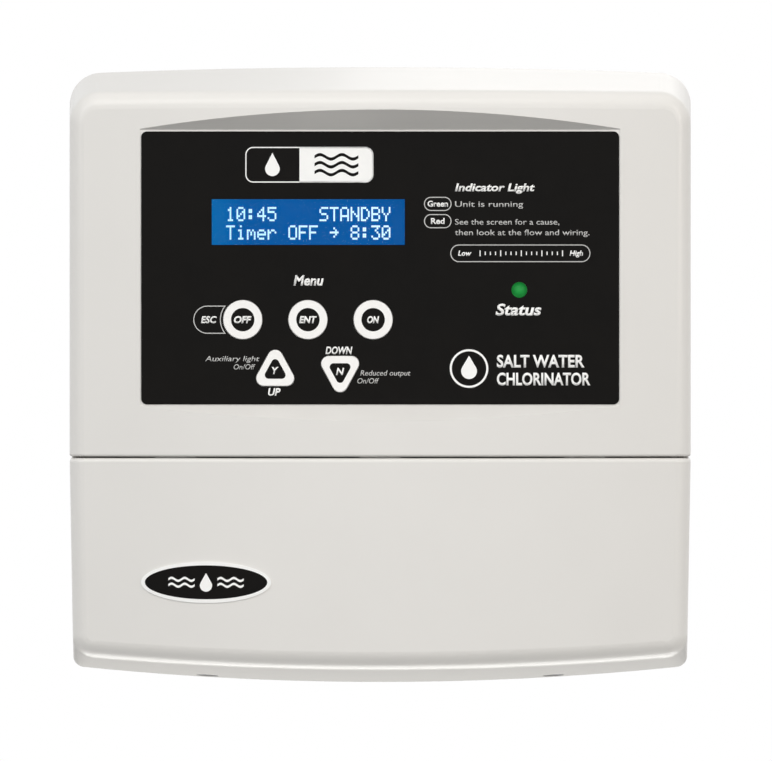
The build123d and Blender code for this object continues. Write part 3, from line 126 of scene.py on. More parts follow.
def bump(tree, height, depth, below=None):
    """Relief depth metres deep, on top of another relief if there is one."""
    inputs = {"Height": height, "Distance": depth, "Strength": 1.0}
    if below is not None:
        inputs["Normal"] = below
    return node(tree, "ShaderNodeBump", inputs).outputs["Normal"]


def edge_mask(tree, radius):
    """Rises from 0 on flat faces towards 1 on sharp outer and inner edges; it places the painted edge
    highlights.
    """
    rounded = node(tree, "ShaderNodeBevel", {"Radius": radius}, samples=4)
    plain = node(tree, "ShaderNodeNewGeometry")
    dot = node(tree, "ShaderNodeVectorMath", {
        0: rounded.outputs["Normal"], 1: plain.outputs["Normal"],
    }, operation="DOT_PRODUCT")
    return spread(tree, dot.outputs["Value"], 1.0, 0.0, 0.75, 0.99)


# ---------------------------------------------------------------- finishes
def surface(
    name, colour, other, roughness, mottle=8 * MM, grain=0.4 * MM, relief=0.004 * MM,
    stretch=(1, 1, 1), metallic=0.0, coat=0.0, specular=0.5, edge=None,
):
    """The common finish: two close colours in soft blotches, uneven gloss and a fine relief; an edge
    colour, where given, is a painted highlight along the edges.
    """
    material, tree, shader = new_material(name)
    at = place(tree, stretch)
    base = mix(tree, spread(tree, noise(tree, at, mottle), 0, 1), colour, other)
    # edges are painted lighter here: a painted highlight along them
    if edge is not None:
        base = mix(tree, edge_mask(tree, 0.8 * MM), base, edge)
    tree.links.new(base, shader.inputs["Base Color"])
    gloss = spread(tree, noise(tree, at, mottle / 3, 4), *roughness)
    tree.links.new(gloss, shader.inputs["Roughness"])
    fine = bump(tree, noise(tree, at, grain, 2), relief)
    tree.links.new(fine, shader.inputs["Normal"])
    shader.inputs["Metallic"].default_value = metallic
    shader.inputs["Coat Weight"].default_value = coat
    shader.inputs["Coat Roughness"].default_value = 0.12
    shader.inputs["Specular IOR Level"].default_value = specular
    return material


def case_plastic():
    return surface(
        "case_plastic", srgb(228, 226, 222), srgb(225, 223, 219), (0.31, 0.345),
        mottle=30 * MM, grain=0.5 * MM, relief=0.0012 * MM, coat=0.15,
    )


def rear_plastic():
    return surface(
        "rear_plastic", srgb(218, 215, 209), srgb(211, 208, 201), (0.34, 0.44),
        # edge: a lighter colour painted on the edges as a painted highlight
        mottle=25 * MM, grain=0.45 * MM, relief=0.004 * MM, edge=srgb(225, 223, 218),
    )


def bracket_steel():
    return surface(
        "bracket_steel", srgb(176, 178, 180), srgb(150, 153, 157), (0.32, 0.5),
        # edge: a brighter colour painted on the edges as a painted highlight
        mottle=6 * MM, grain=1.2 * MM, relief=0.006 * MM, metallic=0.9, edge=srgb(206, 208, 210),
    )


def gasket_rubber():
    return surface(
        "gasket_rubber", srgb(40, 40, 41), srgb(28, 28, 29), (0.75, 0.9),
        mottle=2 * MM, grain=0.25 * MM, relief=0.05 * MM,
    )


def overlay_film():
    return surface(
        "overlay_film", srgb(19, 17, 15), srgb(15, 14, 13), (0.46, 0.54),
        mottle=12 * MM, grain=0.12 * MM, relief=0.0012 * MM, specular=0.08,
    )


def badge_film():
    return surface(
        "badge_film", srgb(250, 250, 248), srgb(246, 246, 244), (0.28, 0.36),
        mottle=6 * MM, grain=0.15 * MM, relief=0.001 * MM,
    )


def window_clear():
    material, tree, shader = new_material("window_clear")
    smudge = noise(tree, place(tree), 5 * MM, 4)
    tree.links.new(spread(tree, smudge, 0.02, 0.08), shader.inputs["Roughness"])
    shader.inputs["Base Color"].default_value = (0.98, 0.99, 1.0, 1.0)
    shader.inputs["Transmission Weight"].default_value = 1.0
    shader.inputs["IOR"].default_value = 1.05
    return material


def display_blue():
    """Lit liquid crystal: blue light, stronger near the lamps at the left edge, in fine cells."""
    low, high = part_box("display_window")
    material, tree, shader = new_material("display_blue")
    at = place(tree)
    across = node(tree, "ShaderNodeSeparateXYZ", {0: at}).outputs["X"]
    lamp = spread(tree, across, 1, 0, low.x, low.x + 12 * MM)
    far_lamp = spread(tree, across, 0, 0.5, high.x - 14 * MM, high.x)
    cloud = spread(tree, noise(tree, at, 22 * MM, 2), 0, 0.5)
    deep = mix(tree, cloud, srgb(0, 86, 160), srgb(0, 92, 168))
    lit = mix(tree, lamp, deep, srgb(0, 104, 174))
    glow = mix(tree, far_lamp, lit, srgb(0, 80, 152))
    tree.links.new(glow, shader.inputs["Emission Color"])
    shader.inputs["Emission Strength"].default_value = 0.95
    shader.inputs["Base Color"].default_value = srgb(0, 10, 26)
    shader.inputs["Specular IOR Level"].default_value = 0.05
    shader.inputs["Roughness"].default_value = 0.4
    tree.links.new(bump(tree, noise(tree, at, 0.3 * MM, 1), 0.001 * MM), shader.inputs["Normal"])
    return material


def display_dots():
    """The lit dots of the characters: pale cyan, dimmer towards the left end."""
    low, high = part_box("display_window")
    material, tree, shader = new_material("display_dots")
    at = place(tree)
    across = node(tree, "ShaderNodeSeparateXYZ", {0: at}).outputs["X"]
    share = spread(tree, across, 0, 1, low.x, high.x)
    glow = mix(tree, share, srgb(176, 224, 250), srgb(214, 242, 255))
    tree.links.new(glow, shader.inputs["Emission Color"])
    shader.inputs["Emission Strength"].default_value = 1.0
    shader.inputs["Base Color"].default_value = srgb(90, 120, 140)
    shader.inputs["Roughness"].default_value = 0.4
    return material


def display_frame():
    return surface(
        "display_frame", srgb(24, 24, 26), srgb(17, 17, 18), (0.35, 0.5),
        mottle=4 * MM, grain=0.2 * MM, relief=0.003 * MM, metallic=0.4,
    )


def backlight_white():
    return surface(
        "backlight_white", srgb(236, 240, 243), srgb(222, 228, 232), (0.4, 0.55),
        mottle=5 * MM, grain=0.6 * MM, relief=0.002 * MM,
    )


def circuit_board():
    """Green lacquer over copper tracks, with tinned pads in rows, each with a dark middle that is painted
    shade for its hole.
    """
    material, tree, shader = new_material("circuit_board")
    flat = node(tree, "ShaderNodeMapping", {
        "Vector": place(tree), "Rotation": (math.pi / 2, 0, 0),
    }).outputs["Vector"]
    tracks = node(tree, "ShaderNodeTexBrick", {
        "Vector": flat, "Scale": 1 / (9 * MM), "Mortar Size": 0.035, "Mortar Smooth": 0.3,
        "Brick Width": 1.7, "Row Height": 0.28,
    }, offset_frequency=3, squash=0.6, squash_frequency=2)
    on_track = math_node(tree, "SUBTRACT", 1.0, tracks.outputs["Fac"])
    holes = node(tree, "ShaderNodeTexVoronoi", {
        "Vector": flat, "Scale": 1 / (5.08 * MM), "Randomness": 0.35,
    })
    pad = spread(tree, holes.outputs["Distance"], 1, 0, 0.13, 0.15)
    # the dark middle of each pad is painted shade standing in for a hole
    hole_shade = spread(tree, holes.outputs["Distance"], 1, 0, 0.06, 0.07)
    lacquer = mix(tree, on_track, srgb(14, 84, 46), srgb(24, 108, 58))
    tinned = mix(tree, pad, lacquer, srgb(196, 194, 182))
    tree.links.new(mix(tree, hole_shade, tinned, srgb(14, 16, 14)), shader.inputs["Base Color"])
    tree.links.new(spread(tree, noise(tree, flat, 4 * MM), 0.22, 0.36), shader.inputs["Roughness"])
    raised = bump(tree, on_track, 0.03 * MM)
    tree.links.new(bump(tree, pad, 0.05 * MM, raised), shader.inputs["Normal"])
    return material


def chip_black():
    return surface(
        "chip_black", srgb(34, 34, 36), srgb(26, 26, 28), (0.5, 0.62),
        mottle=3 * MM, grain=0.12 * MM, relief=0.006 * MM,
    )


def nylon():
    return surface(
        "nylon", srgb(226, 222, 208), srgb(216, 211, 196), (0.4, 0.5),
        mottle=3 * MM, grain=0.3 * MM, relief=0.004 * MM,
    )


def screw_steel():
    return surface(
        "screw_steel", srgb(188, 190, 194), srgb(160, 163, 168), (0.22, 0.38),
        # edge: a brighter colour painted on the edges as a painted highlight
        mottle=2 * MM, grain=0.3 * MM, relief=0.006 * MM, metallic=1.0, edge=srgb(222, 224, 228),
    )


def plate_steel():
    return surface(
        "plate_steel", srgb(178, 180, 184), srgb(158, 160, 165), (0.25, 0.42),
        mottle=5 * MM, grain=0.3 * MM, relief=0.005 * MM, stretch=(1, 1, 12), metallic=1.0,
    )


def key_white():
    return surface(
        "key_white", srgb(251, 250, 248), srgb(247, 246, 243), (0.36, 0.46),
        mottle=4 * MM, grain=0.15 * MM, relief=0.001 * MM,
    )


def switch_black():
    return surface(
        "switch_black", srgb(32, 32, 33), srgb(24, 24, 25), (0.42, 0.55),
        mottle=3 * MM, grain=0.2 * MM, relief=0.004 * MM,
    )


def led_green():
    """The lit lens: brighter in the middle, darker green towards its rim."""
    low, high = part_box("status_led")
    middle = (low + high) / 2
    material, tree, shader = new_material("led_green")
    at = place(tree, (1, 0, 1), middle)
    distance = node(tree, "ShaderNodeVectorMath", {0: at}, operation="LENGTH").outputs["Value"]
    rim = spread(tree, distance, 0, 1, 0.6 * MM, 2.6 * MM)
    mottled = spread(tree, noise(tree, place(tree), 1.3 * MM, 3), -0.25, 0.25)
    share = math_node(tree, "ADD", rim, mottled)
    glow = mix(tree, share, srgb(44, 168, 76), srgb(18, 122, 48))
    tree.links.new(glow, shader.inputs["Emission Color"])
    shader.inputs["Emission Strength"].default_value = 0.7
    shader.inputs["Base Color"].default_value = srgb(6, 52, 22)
    shader.inputs["Specular IOR Level"].default_value = 0.12
    shader.inputs["Roughness"].default_value = 0.25
    return material


def transformer_wrap():
    """Amber tape wound round the ring, seen as turns that overlap all the way round."""
    low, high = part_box("transformer")
    material, tree, shader = new_material("transformer_wrap")
    turned = node(tree, "ShaderNodeMapping", {
        "Vector": place(tree, origin=(low + high) / 2), "Rotation": (math.pi / 2, 0, 0),
    }).outputs["Vector"]
    angle = node(tree, "ShaderNodeTexGradient", {0: turned}, gradient_type="RADIAL").outputs["Fac"]
    turn = math_node(tree, "FRACT", math_node(tree, "MULTIPLY", angle, 56))
    lap = spread(tree, turn, 0, 1, 0, 1)
    tape = mix(tree, lap, srgb(196, 158, 52), srgb(172, 128, 34))
    worn = mix(tree, spread(tree, noise(tree, turned, 5 * MM), 0, 0.35), tape, srgb(140, 92, 28))
    tree.links.new(worn, shader.inputs["Base Color"])
    tree.links.new(spread(tree, noise(tree, turned, 3 * MM), 0.2, 0.38), shader.inputs["Roughness"])
    tree.links.new(bump(tree, lap, 0.15 * MM), shader.inputs["Normal"])
    return material


def pad_rubber():
    return surface(
        "pad_rubber", srgb(44, 44, 45), srgb(32, 32, 33), (0.7, 0.85),
        mottle=3 * MM, grain=0.3 * MM, relief=0.03 * MM,
    )


def capacitor_sleeve():
    """Dark blue shrink sleeve with one pale stripe down each can."""
    material, tree, shader = new_material("capacitor_sleeve")
    at = place(tree)
    across = node(tree, "ShaderNodeSeparateXYZ", {0: at}).outputs["Z"]
    middle = sum((corner.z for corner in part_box("filter_capacitors")), 0.0) / 2
    stripe = spread(tree, math_node(tree, "ABSOLUTE", math_node(tree, "SUBTRACT", across, middle)),
                    1, 0, 1.6 * MM, 1.8 * MM)
    cloth = mix(tree, spread(tree, noise(tree, at, 4 * MM), 0, 1), srgb(28, 34, 66), srgb(22, 27, 54))
    tree.links.new(mix(tree, stripe, cloth, srgb(176, 180, 190)), shader.inputs["Base Color"])
    tree.links.new(spread(tree, noise(tree, at, 3 * MM), 0.2, 0.34), shader.inputs["Roughness"])
    tree.links.new(bump(tree, noise(tree, at, 1.5 * MM), 0.02 * MM), shader.inputs["Normal"])
    return material


def heatsink_metal():
    return surface(
        "heatsink_metal", srgb(198, 200, 203), srgb(180, 182, 186), (0.28, 0.4),
        mottle=4 * MM, grain=0.25 * MM, relief=0.01 * MM, stretch=(1, 1, 0.05), metallic=1.0,
    )


def relay_case():
    return surface(
        "relay_case", srgb(38, 84, 158), srgb(30, 72, 142), (0.24, 0.34),
        mottle=5 * MM, grain=0.4 * MM, relief=0.002 * MM,
    )


def fuse_glass():
    material, tree, shader = new_material("fuse_glass")
    tree.links.new(spread(tree, noise(tree, place(tree), 2 * MM), 0.02, 0.08), shader.inputs["Roughness"])
    shader.inputs["Base Color"].default_value = srgb(228, 240, 236)
    shader.inputs["Transmission Weight"].default_value = 0.9
    shader.inputs["IOR"].default_value = 1.5
    return material


def clip_brass():
    return surface(
        "clip_brass", srgb(206, 172, 96), srgb(184, 148, 78), (0.25, 0.4),
        mottle=2 * MM, grain=0.3 * MM, relief=0.004 * MM, metallic=1.0,
    )


def ribbon_grey():
    """Flat cable: ridges side by side at the usual pitch, painted darker in the grooves and lighter on
    the crests, and one red edge wire.
    """
    low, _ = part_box("ribbon_cable")
    pitch = 1.27 * MM
    material, tree, shader = new_material("ribbon_grey")
    at = place(tree, origin=low)
    across = node(tree, "ShaderNodeSeparateXYZ", {0: at}).outputs["X"]
    ridge = math_node(tree, "PINGPONG", across, pitch / 2)
    height = spread(tree, ridge, 0, 1, 0, pitch / 2)
    first = spread(tree, across, 1, 0, pitch, 1.05 * pitch)
    # the grey follows the ridges: painted shade in the grooves and painted highlight on the crests
    grey = mix(tree, height, srgb(112, 114, 118), srgb(156, 158, 162))
    tree.links.new(mix(tree, first, grey, srgb(170, 40, 36)), shader.inputs["Base Color"])
    tree.links.new(spread(tree, noise(tree, at, 3 * MM), 0.4, 0.55), shader.inputs["Roughness"])
    tree.links.new(bump(tree, height, 0.25 * MM), shader.inputs["Normal"])
    return material


def lead_insulation():
    return surface(
        "lead_insulation", srgb(172, 36, 32), srgb(152, 28, 26), (0.34, 0.46),
        mottle=3 * MM, grain=0.5 * MM, relief=0.01 * MM,
    )


def terminal_plastic():
    return surface(
        "terminal_plastic", srgb(206, 206, 199), srgb(196, 196, 188), (0.42, 0.54),
        # edge: a lighter colour painted on the edges as a painted highlight
        mottle=5 * MM, grain=0.3 * MM, relief=0.006 * MM, edge=srgb(216, 216, 210),
    )


def gland_plastic():
    return surface(
        "gland_plastic", srgb(38, 38, 40), srgb(29, 29, 31), (0.4, 0.54),
        # edge: a lighter colour painted on the edges as a painted highlight
        mottle=4 * MM, grain=0.3 * MM, relief=0.012 * MM, edge=srgb(58, 58, 60),
    )


def gland_rubber():
    return surface(
        "gland_rubber", srgb(30, 30, 31), srgb(22, 22, 23), (0.65, 0.8),
        mottle=2 * MM, grain=0.25 * MM, relief=0.02 * MM,
    )


def outlet_plastic():
    return surface(
        "outlet_plastic", srgb(220, 219, 214), srgb(212, 211, 205), (0.28, 0.38),
        # edge: a lighter colour painted on the edges as a painted highlight
        mottle=8 * MM, grain=0.4 * MM, relief=0.003 * MM, edge=srgb(228, 227, 223),
    )


def print_white():
    return surface(
        "print_white", srgb(252, 252, 250), srgb(247, 247, 245), (0.4, 0.5),
        mottle=3 * MM, grain=0.1 * MM, relief=0.0006 * MM, specular=0.35,
    )


def print_grey():
    return surface(
        "print_grey", srgb(204, 204, 202), srgb(196, 196, 194), (0.4, 0.5),
        mottle=3 * MM, grain=0.1 * MM, relief=0.0006 * MM, specular=0.35,
    )


def print_black():
    return surface(
        "print_black", srgb(19, 17, 15), srgb(15, 14, 13), (0.44, 0.52),
        mottle=3 * MM, grain=0.1 * MM, relief=0.0006 * MM, specular=0.08,
    )


FINISHES = (
    bracket_steel, case_plastic, rear_plastic, gasket_rubber, overlay_film, window_clear,
    display_frame, display_blue, backlight_white, circuit_board, chip_black, nylon, screw_steel,
    key_white, switch_black, led_green, transformer_wrap, pad_rubber, plate_steel,
    capacitor_sleeve, heatsink_metal, relay_case, fuse_glass, clip_brass, ribbon_grey,
    lead_insulation, terminal_plastic, gland_plastic, gland_rubber, outlet_plastic, badge_film,
)


def paint_nodes():
    """Gives every CAD node the finish of its material slot in the record."""
    finishes = {make.__name__: make() for make in FINISHES}
    for row in frame["record"]["subparts"]:
        for slot in frame["nodes"][row["node"]].material_slots:
            slot.material = finishes[row["material_slot"]]


# ---------------------------------------------------------------- flat outlines, in millimetres
CURVE_STEPS = 24


def arc(x, z, radius, start, end, steps=CURVE_STEPS):
    """Points on an arc; angles in degrees, from +X towards +Z."""
    turns = [math.radians(start + (end - start) * i / steps) for i in range(steps + 1)]
    return [(x + radius * math.cos(a), z + radius * math.sin(a)) for a in turns]


def disc(x, z, radius):
    return arc(x, z, radius, 0, 360, 2 * CURVE_STEPS)[:-1]


def ellipse(x, z, width, height):
    points = disc(0, 0, 0.5)
    return [(x + width * u, z + height * v) for u, v in points]


def rounded(left, low, right, high, radius, inset=0.0):
    """A rounded rectangle, pulled in by inset."""
    r = radius - inset
    return (
        arc(right - radius, high - radius, r, 0, 90)
        + arc(left + radius, high - radius, r, 90, 180)
        + arc(left + radius, low + radius, r, 180, 270)
        + arc(right - radius, low + radius, r, 270, 360)
    )


def rounded_triangle(x, z, width, height, radius, point):
    """An isosceles triangle with round corners that points up (1) or down (-1)."""
    side = width / 2 - radius
    rise = height / 2 - radius
    tilt = math.degrees(math.atan2(2 * rise, side))
    corners = (
        (side, -rise, -90, 90 - tilt),
        (0, rise, 90 - tilt, 90 + tilt),
        (-side, -rise, 90 + tilt, 270),
    )
    points = [p for u, v, a, b in corners for p in arc(u, v, radius, a, b)]
    return [(x + u, z + point * v) for u, v in points]


def drop(x, z, radius, height):
    """A water drop: a disc whose top runs up to a point."""
    open_angle = math.degrees(math.acos(radius / (height - radius)))
    return arc(x, z, radius, 90 + open_angle, 450 - open_angle) + [(x, z + height - radius)]


def wave(x, z, width, crest, thickness, crests=2):
    """A band that rolls up and down about z."""
    steps = CURVE_STEPS * crests
    line = []
    for i in range(steps + 1):
        share = i / steps
        line.append((x + width * (share - 0.5), z + crest * math.sin(2 * math.pi * crests * share)))
    upper = [(u, v + thickness / 2) for u, v in line]
    lower = [(u, v - thickness / 2) for u, v in reversed(line)]
    return upper + lower


# ---------------------------------------------------------------- printing
INK = 0.02 * MM  # how far one layer of print stands off what it is on
SUNK = 0.03 * MM  # how far its back lies under that surface
REGULAR, BOLD, HEAVY = 0.004, 0.03, 0.042
UPRIGHT, ITALIC = 0.0, 0.2


def filled(curve):
    """The flat mesh of a filled 2D curve or text."""
    holder = bpy.data.objects.new(curve.name, curve)
    scene.collection.objects.link(holder)
    bpy.context.view_layer.update()
    ready = holder.evaluated_get(bpy.context.evaluated_depsgraph_get())
    mesh = bpy.data.meshes.new_from_object(ready)
    bpy.data.objects.remove(holder)
    return mesh


def letters(words, weight, lean):
    """Words as a flat mesh with a baseline at 0, a font size of 1 and its left edge at 0."""
    text = bpy.data.curves.new("words", "FONT")
    text.body = words
    text.shear = lean
    text.offset = weight
    text.resolution_u = 4
    mesh = filled(text)
    left = min(v.co.x for v in mesh.vertices)
    for vertex in mesh.vertices:
        vertex.co.x -= left
    return mesh


CAP_HEIGHT = max(v.co.y for v in letters("H", REGULAR, UPRIGHT).vertices)


class Print:
    """Flat shapes of one colour, drawn in millimetres and then laid on a CAD node's front."""

    def __init__(self):
        self.flat = bmesh.new()

    def take(self, mesh, matrix=Matrix.Identity(4)):
        mesh.transform(matrix)
        self.flat.from_mesh(mesh)
        bpy.data.meshes.remove(mesh)

    def shape(self, *loops):
        """A filled outline; further loops inside the first are holes."""
        curve = bpy.data.curves.new("outline", "CURVE")
        curve.dimensions = "2D"
        curve.fill_mode = "BOTH"
        for loop in loops:
            spline = curve.splines.new("POLY")
            spline.points.add(len(loop) - 1)
            spline.points.foreach_set("co", [c for x, z in loop for c in (x, z, 0, 1)])
            spline.use_cyclic_u = True
        self.take(filled(curve))

    def block(self, left, low, width, height):
        """A plain rectangle."""
        corners = ((0, 0), (width, 0), (width, height), (0, height))
        self.flat.faces.new([self.flat.verts.new((left + u, low + v, 0)) for u, v in corners])

    def text(self, words, x, base, cap, width=None, anchor=0.5, weight=REGULAR, lean=UPRIGHT):
        """Words on a baseline, with a capital's height and, if given, their whole width.
        anchor says which part of their width is at x: 0 the left end, 0.5 the middle, 1 the right."""
        mesh = letters(words, weight, lean)
        span = max(v.co.x for v in mesh.vertices)
        scale = cap / CAP_HEIGHT
        stretch = scale if width is None else width / span
        shift = Matrix.Translation((x - anchor * span * stretch, base, 0))
        self.take(mesh, shift @ Matrix.Diagonal((stretch, scale, 1, 1)))

    def lay(self, name, on, body, material, slot, layer=1, cut_every=None):
        """Makes the print a thin closed piece on the front of a CAD node, riding on a body.
        cut_every splits it into upright strips, so that it can follow a bowed surface."""
        flat = self.flat
        bmesh.ops.remove_doubles(flat, verts=flat.verts, dist=0.0005)
        bmesh.ops.dissolve_degenerate(flat, edges=flat.edges, dist=0.0005)
        if cut_every:
            low = min(v.co.x for v in flat.verts)
            high = max(v.co.x for v in flat.verts)
            for i in range(1, math.ceil((high - low) / cut_every)):
                bmesh.ops.bisect_plane(
                    flat, geom=flat.verts[:] + flat.edges[:] + flat.faces[:],
                    plane_co=(low + i * cut_every, 0, 0), plane_no=(1, 0, 0),
                )
        made = bmesh.ops.extrude_face_region(flat, geom=flat.faces[:])
        front = {g for g in made["geom"] if isinstance(g, bmesh.types.BMVert)}
        tree = BVHTree.FromObject(frame["nodes"][on], bpy.context.evaluated_depsgraph_get())
        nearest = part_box(on)[0].y
        for vertex in flat.verts:
            x, z = vertex.co.x * MM, vertex.co.y * MM
            hit = tree.ray_cast(Vector((x, nearest - 1, z)), Vector((0, 1, 0)))[0]
            face = nearest if hit is None else hit.y
            vertex.co = (x, face - INK * layer if vertex in front else face + SUNK, z)
        bmesh.ops.recalc_face_normals(flat, faces=flat.faces)
        mesh = bpy.data.meshes.new(name)
        flat.to_mesh(mesh)
        flat.free()
        mesh.materials.append(material)
        piece = bpy.data.objects.new(name, mesh)
        scene.collection.objects.link(piece)
        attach(piece, body)
        return piece


def middle_of(name):
    """The middle of a CAD node seen from the front, in millimetres."""
    low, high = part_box(name)
    return (low.x + high.x) / 2 / MM, (low.z + high.z) / 2 / MM


# ---------------------------------------------------------------- what is printed
RING = 4.0  # radius of the black middle of a round key
TRIANGLE_RING = 2.9  # width of a three-cornered key's white rim
LINE = 0.38  # thin outlines
ESC_LINE = 0.3
CAPTION = 1.75  # height of a capital in the captions beside the keys
NOTE = 1.9  # and in the notes beside the display
PLATE_CORNER = 2.7
BADGE_RIM = 1.25


def key_legends(white, black):
    """Black middles and white legends, each riding on its key."""
    legends = {"off": "OFF", "enter": "ENT", "on": "ON", "up": "Y", "down": "N"}
    for key, words in legends.items():
        node_name = f"{key}_key"
        x, z = middle_of(node_name)
        low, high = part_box(node_name)
        width, height = (high.x - low.x) / MM, (high.z - low.z) / MM
        ground, legend = Print(), Print()
        if key in ("up", "down"):
            point = 1 if key == "up" else -1
            rim = TRIANGLE_RING
            ground.shape(rounded_triangle(
                x, z - point * 0.35, width - 2 * rim, height - 2 * rim + 0.2, 1.3, point,
            ))
            legend.text(words, x, z - 1.15 - point * 0.9, 2.3, weight=BOLD, lean=ITALIC)
        else:
            ground.shape(disc(x, z, RING))
            legend.text(words, x, z - 1.1, 2.2, width=1.95 * len(words) + 0.2, weight=HEAVY, lean=ITALIC)
        ground.lay(f"{key}_key_ground", node_name, f"key_{key}", black, "overlay_film")
        legend.lay(f"{key}_key_legend", node_name, f"key_{key}", white, "key_white", layer=2)


def key_captions(art, thin):
    """What stands round the keys on the panel."""
    x, z = middle_of("enter_key")
    art.text("Menu", x + 0.2, z + 11.8, 3.3, width=10.3, weight=BOLD, lean=ITALIC)
    x, z = middle_of("up_key")
    art.text("UP", x - 0.3, z - 9.4, 2.4, width=4.3, weight=BOLD, lean=ITALIC)
    thin.text("Auxiliary light", x - 5.4, z + 2.3, CAPTION, width=18.6, anchor=1, lean=ITALIC)
    thin.text("On/Off", x - 6.8, z - 0.5, CAPTION, width=7.4, anchor=1, lean=ITALIC)
    x, z = middle_of("down_key")
    art.text("DOWN", x - 0.4, z + 6.9, 2.4, width=9.2, weight=BOLD, lean=ITALIC)
    thin.text("Reduced output", x + 6.9, z - 0.5, CAPTION, width=17.2, anchor=0, lean=ITALIC)
    thin.text("On/Off", x + 5.9, z - 3.2, CAPTION, width=7.4, anchor=0, lean=ITALIC)


def escape_outline(art, thin):
    """The caption left of the first key, in an outline that hugs the key's ring."""
    x, z = middle_of("off_key")
    end_x, half, hug = x - 12.1, 4.8, 7.5

    def loop(inset):
        h = half - inset
        reach = hug + inset
        turn = math.degrees(math.asin(h / reach))
        return arc(end_x, z, h, 90, 270) + arc(x, z, reach, 180 + turn, 180 - turn)

    thin.shape(loop(0), loop(ESC_LINE))
    art.text("ESC", x - 11.6, z - 1.1, 2.2, width=5.4, weight=BOLD, lean=ITALIC)


def split_plate(black, art):
    """A plain two-part plate above the display: a drop on the dark half, waves on the pale half."""
    x, _ = middle_of("display_window")
    _, z = middle_of("panel_overlay")
    left, right = x - 21.5, x + 22.3
    low, high = z + 29.2, z + 41.4
    split = x - 3.0
    outline = (left, low, right, high, PLATE_CORNER)
    art.shape(rounded(*outline), rounded(*outline, LINE))
    body_right = rounded(split, low + 0.05, right - 0.05, high - 0.05, 2.6)
    square_left = [(max(u, split), v) for u, v in body_right]
    top, bottom = max(v for _, v in square_left), min(v for _, v in square_left)
    corner = [(u, v) for u, v in square_left if u > split + PLATE_CORNER]
    art.shape(corner[: len(corner) // 2] + [(split, top), (split, bottom)] + corner[len(corner) // 2:])
    art.shape(drop((left + split) / 2, (low + high) / 2 - 1.4, 2.5, 8.0))
    waves = Print()
    for i in (-1, 0, 1):
        waves.shape(wave((split + right) / 2, (low + high) / 2 + 2.7 * i, 15.0, 0.75, 1.1))
    waves.lay("plate_waves", "panel_overlay", "case", black, "overlay_film", layer=2)


def status_texts(art, thin):
    """The block of captions beside the display and round the status light."""
    x, z = middle_of("panel_overlay")
    text_x = x + 25.6
    art.text("Indicator Light", text_x, z + 26.3, 2.5, width=27.3, anchor=0, weight=BOLD, lean=ITALIC)
    for words, width, low in (("Green", 7.0, 19.5), ("Red", 4.7, 13.6)):
        left, right, high = x + 15.0, x + 24.4, low + 4.8
        outline = (left, z + low, right, z + high, 2.39)
        thin.shape(rounded(*outline), rounded(*outline, ESC_LINE))
        art.text(words, (left + right) / 2, z + low + 1.5, NOTE, width=width, weight=BOLD)
    thin.text("Unit is running", text_x, z + 20.9, NOTE, width=23.3, anchor=0)
    thin.text("See the screen for a cause,", text_x, z + 14.8, NOTE, width=35.7, anchor=0)
    thin.text("then look at the flow and wiring.", text_x, z + 11.2, NOTE, width=46, anchor=0)
    outline = (x + 24.0, z + 2.0, x + 71.9, z + 8.0, 2.99)
    thin.shape(rounded(*outline), rounded(*outline, ESC_LINE))
    base = z + 4.2
    art.text("Low", x + 26.6, base, 1.7, anchor=0, weight=BOLD, lean=ITALIC)
    art.text("High", x + 69.4, base, 1.7, anchor=1, weight=BOLD, lean=ITALIC)
    marks = 17
    for i in range(marks):
        height = 2.0 if i % 4 == 0 else 1.2
        art.block(x + 34.0 + 28.2 * i / (marks - 1), z + 5.0 - height / 2, 0.35, height)
    x, z = middle_of("status_led")
    art.text("Status", x - 0.3, z - 8.6, 3.7, width=15.7, weight=BOLD, lean=ITALIC)


def name_block(art):
    """A generic sign and what the object is, low on the right of the panel."""
    x, z = middle_of("panel_overlay")
    sign_x, sign_z = x + 30.4, z - 34.4
    art.shape(disc(sign_x, sign_z, 6.6), disc(sign_x, sign_z, 5.9))
    art.shape(drop(sign_x, sign_z - 0.9, 2.7, 8.0))
    art.text("SALT WATER", x + 39.9, z - 33.9, 4.0, width=30.0, anchor=0, weight=BOLD)
    art.text("CHLORINATOR", x + 39.9, z - 40.0, 4.0, width=32.0, anchor=0, weight=BOLD)


def badge_print(white, black):
    """The oval on the wiring cover: a black field in the white plate, with a drop and waves."""
    x, z = middle_of("cover_badge")
    low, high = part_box("cover_badge")
    field, sign = Print(), Print()
    width = (high.x - low.x) / MM - 2 * BADGE_RIM
    height = (high.z - low.z) / MM - 2 * BADGE_RIM
    field.shape(ellipse(x, z, width, height))
    field.lay("badge_field", "cover_badge", "cover", black, "overlay_film", cut_every=2)
    sign.shape(drop(x, z - 1.1, 2.1, 6.4))
    for side in (-1, 1):
        for row in (-1, 1):
            sign.shape(wave(x + side * 8.4, z + 1.0 * row, 9.0, 0.5, 0.8))
    sign.lay("badge_sign", "cover_badge", "cover", white, "key_white", layer=2, cut_every=2)


def print_everything():
    white, grey, black = print_white(), print_grey(), print_black()
    art, thin = Print(), Print()
    key_captions(art, thin)
    escape_outline(art, thin)
    split_plate(black, art)
    status_texts(art, thin)
    name_block(art)
    art.lay("panel_print", "panel_overlay", "case", white, "key_white")
    thin.lay("panel_small_print", "panel_overlay", "case", grey, "key_white")
    key_legends(white, black)
    badge_print(white, black)


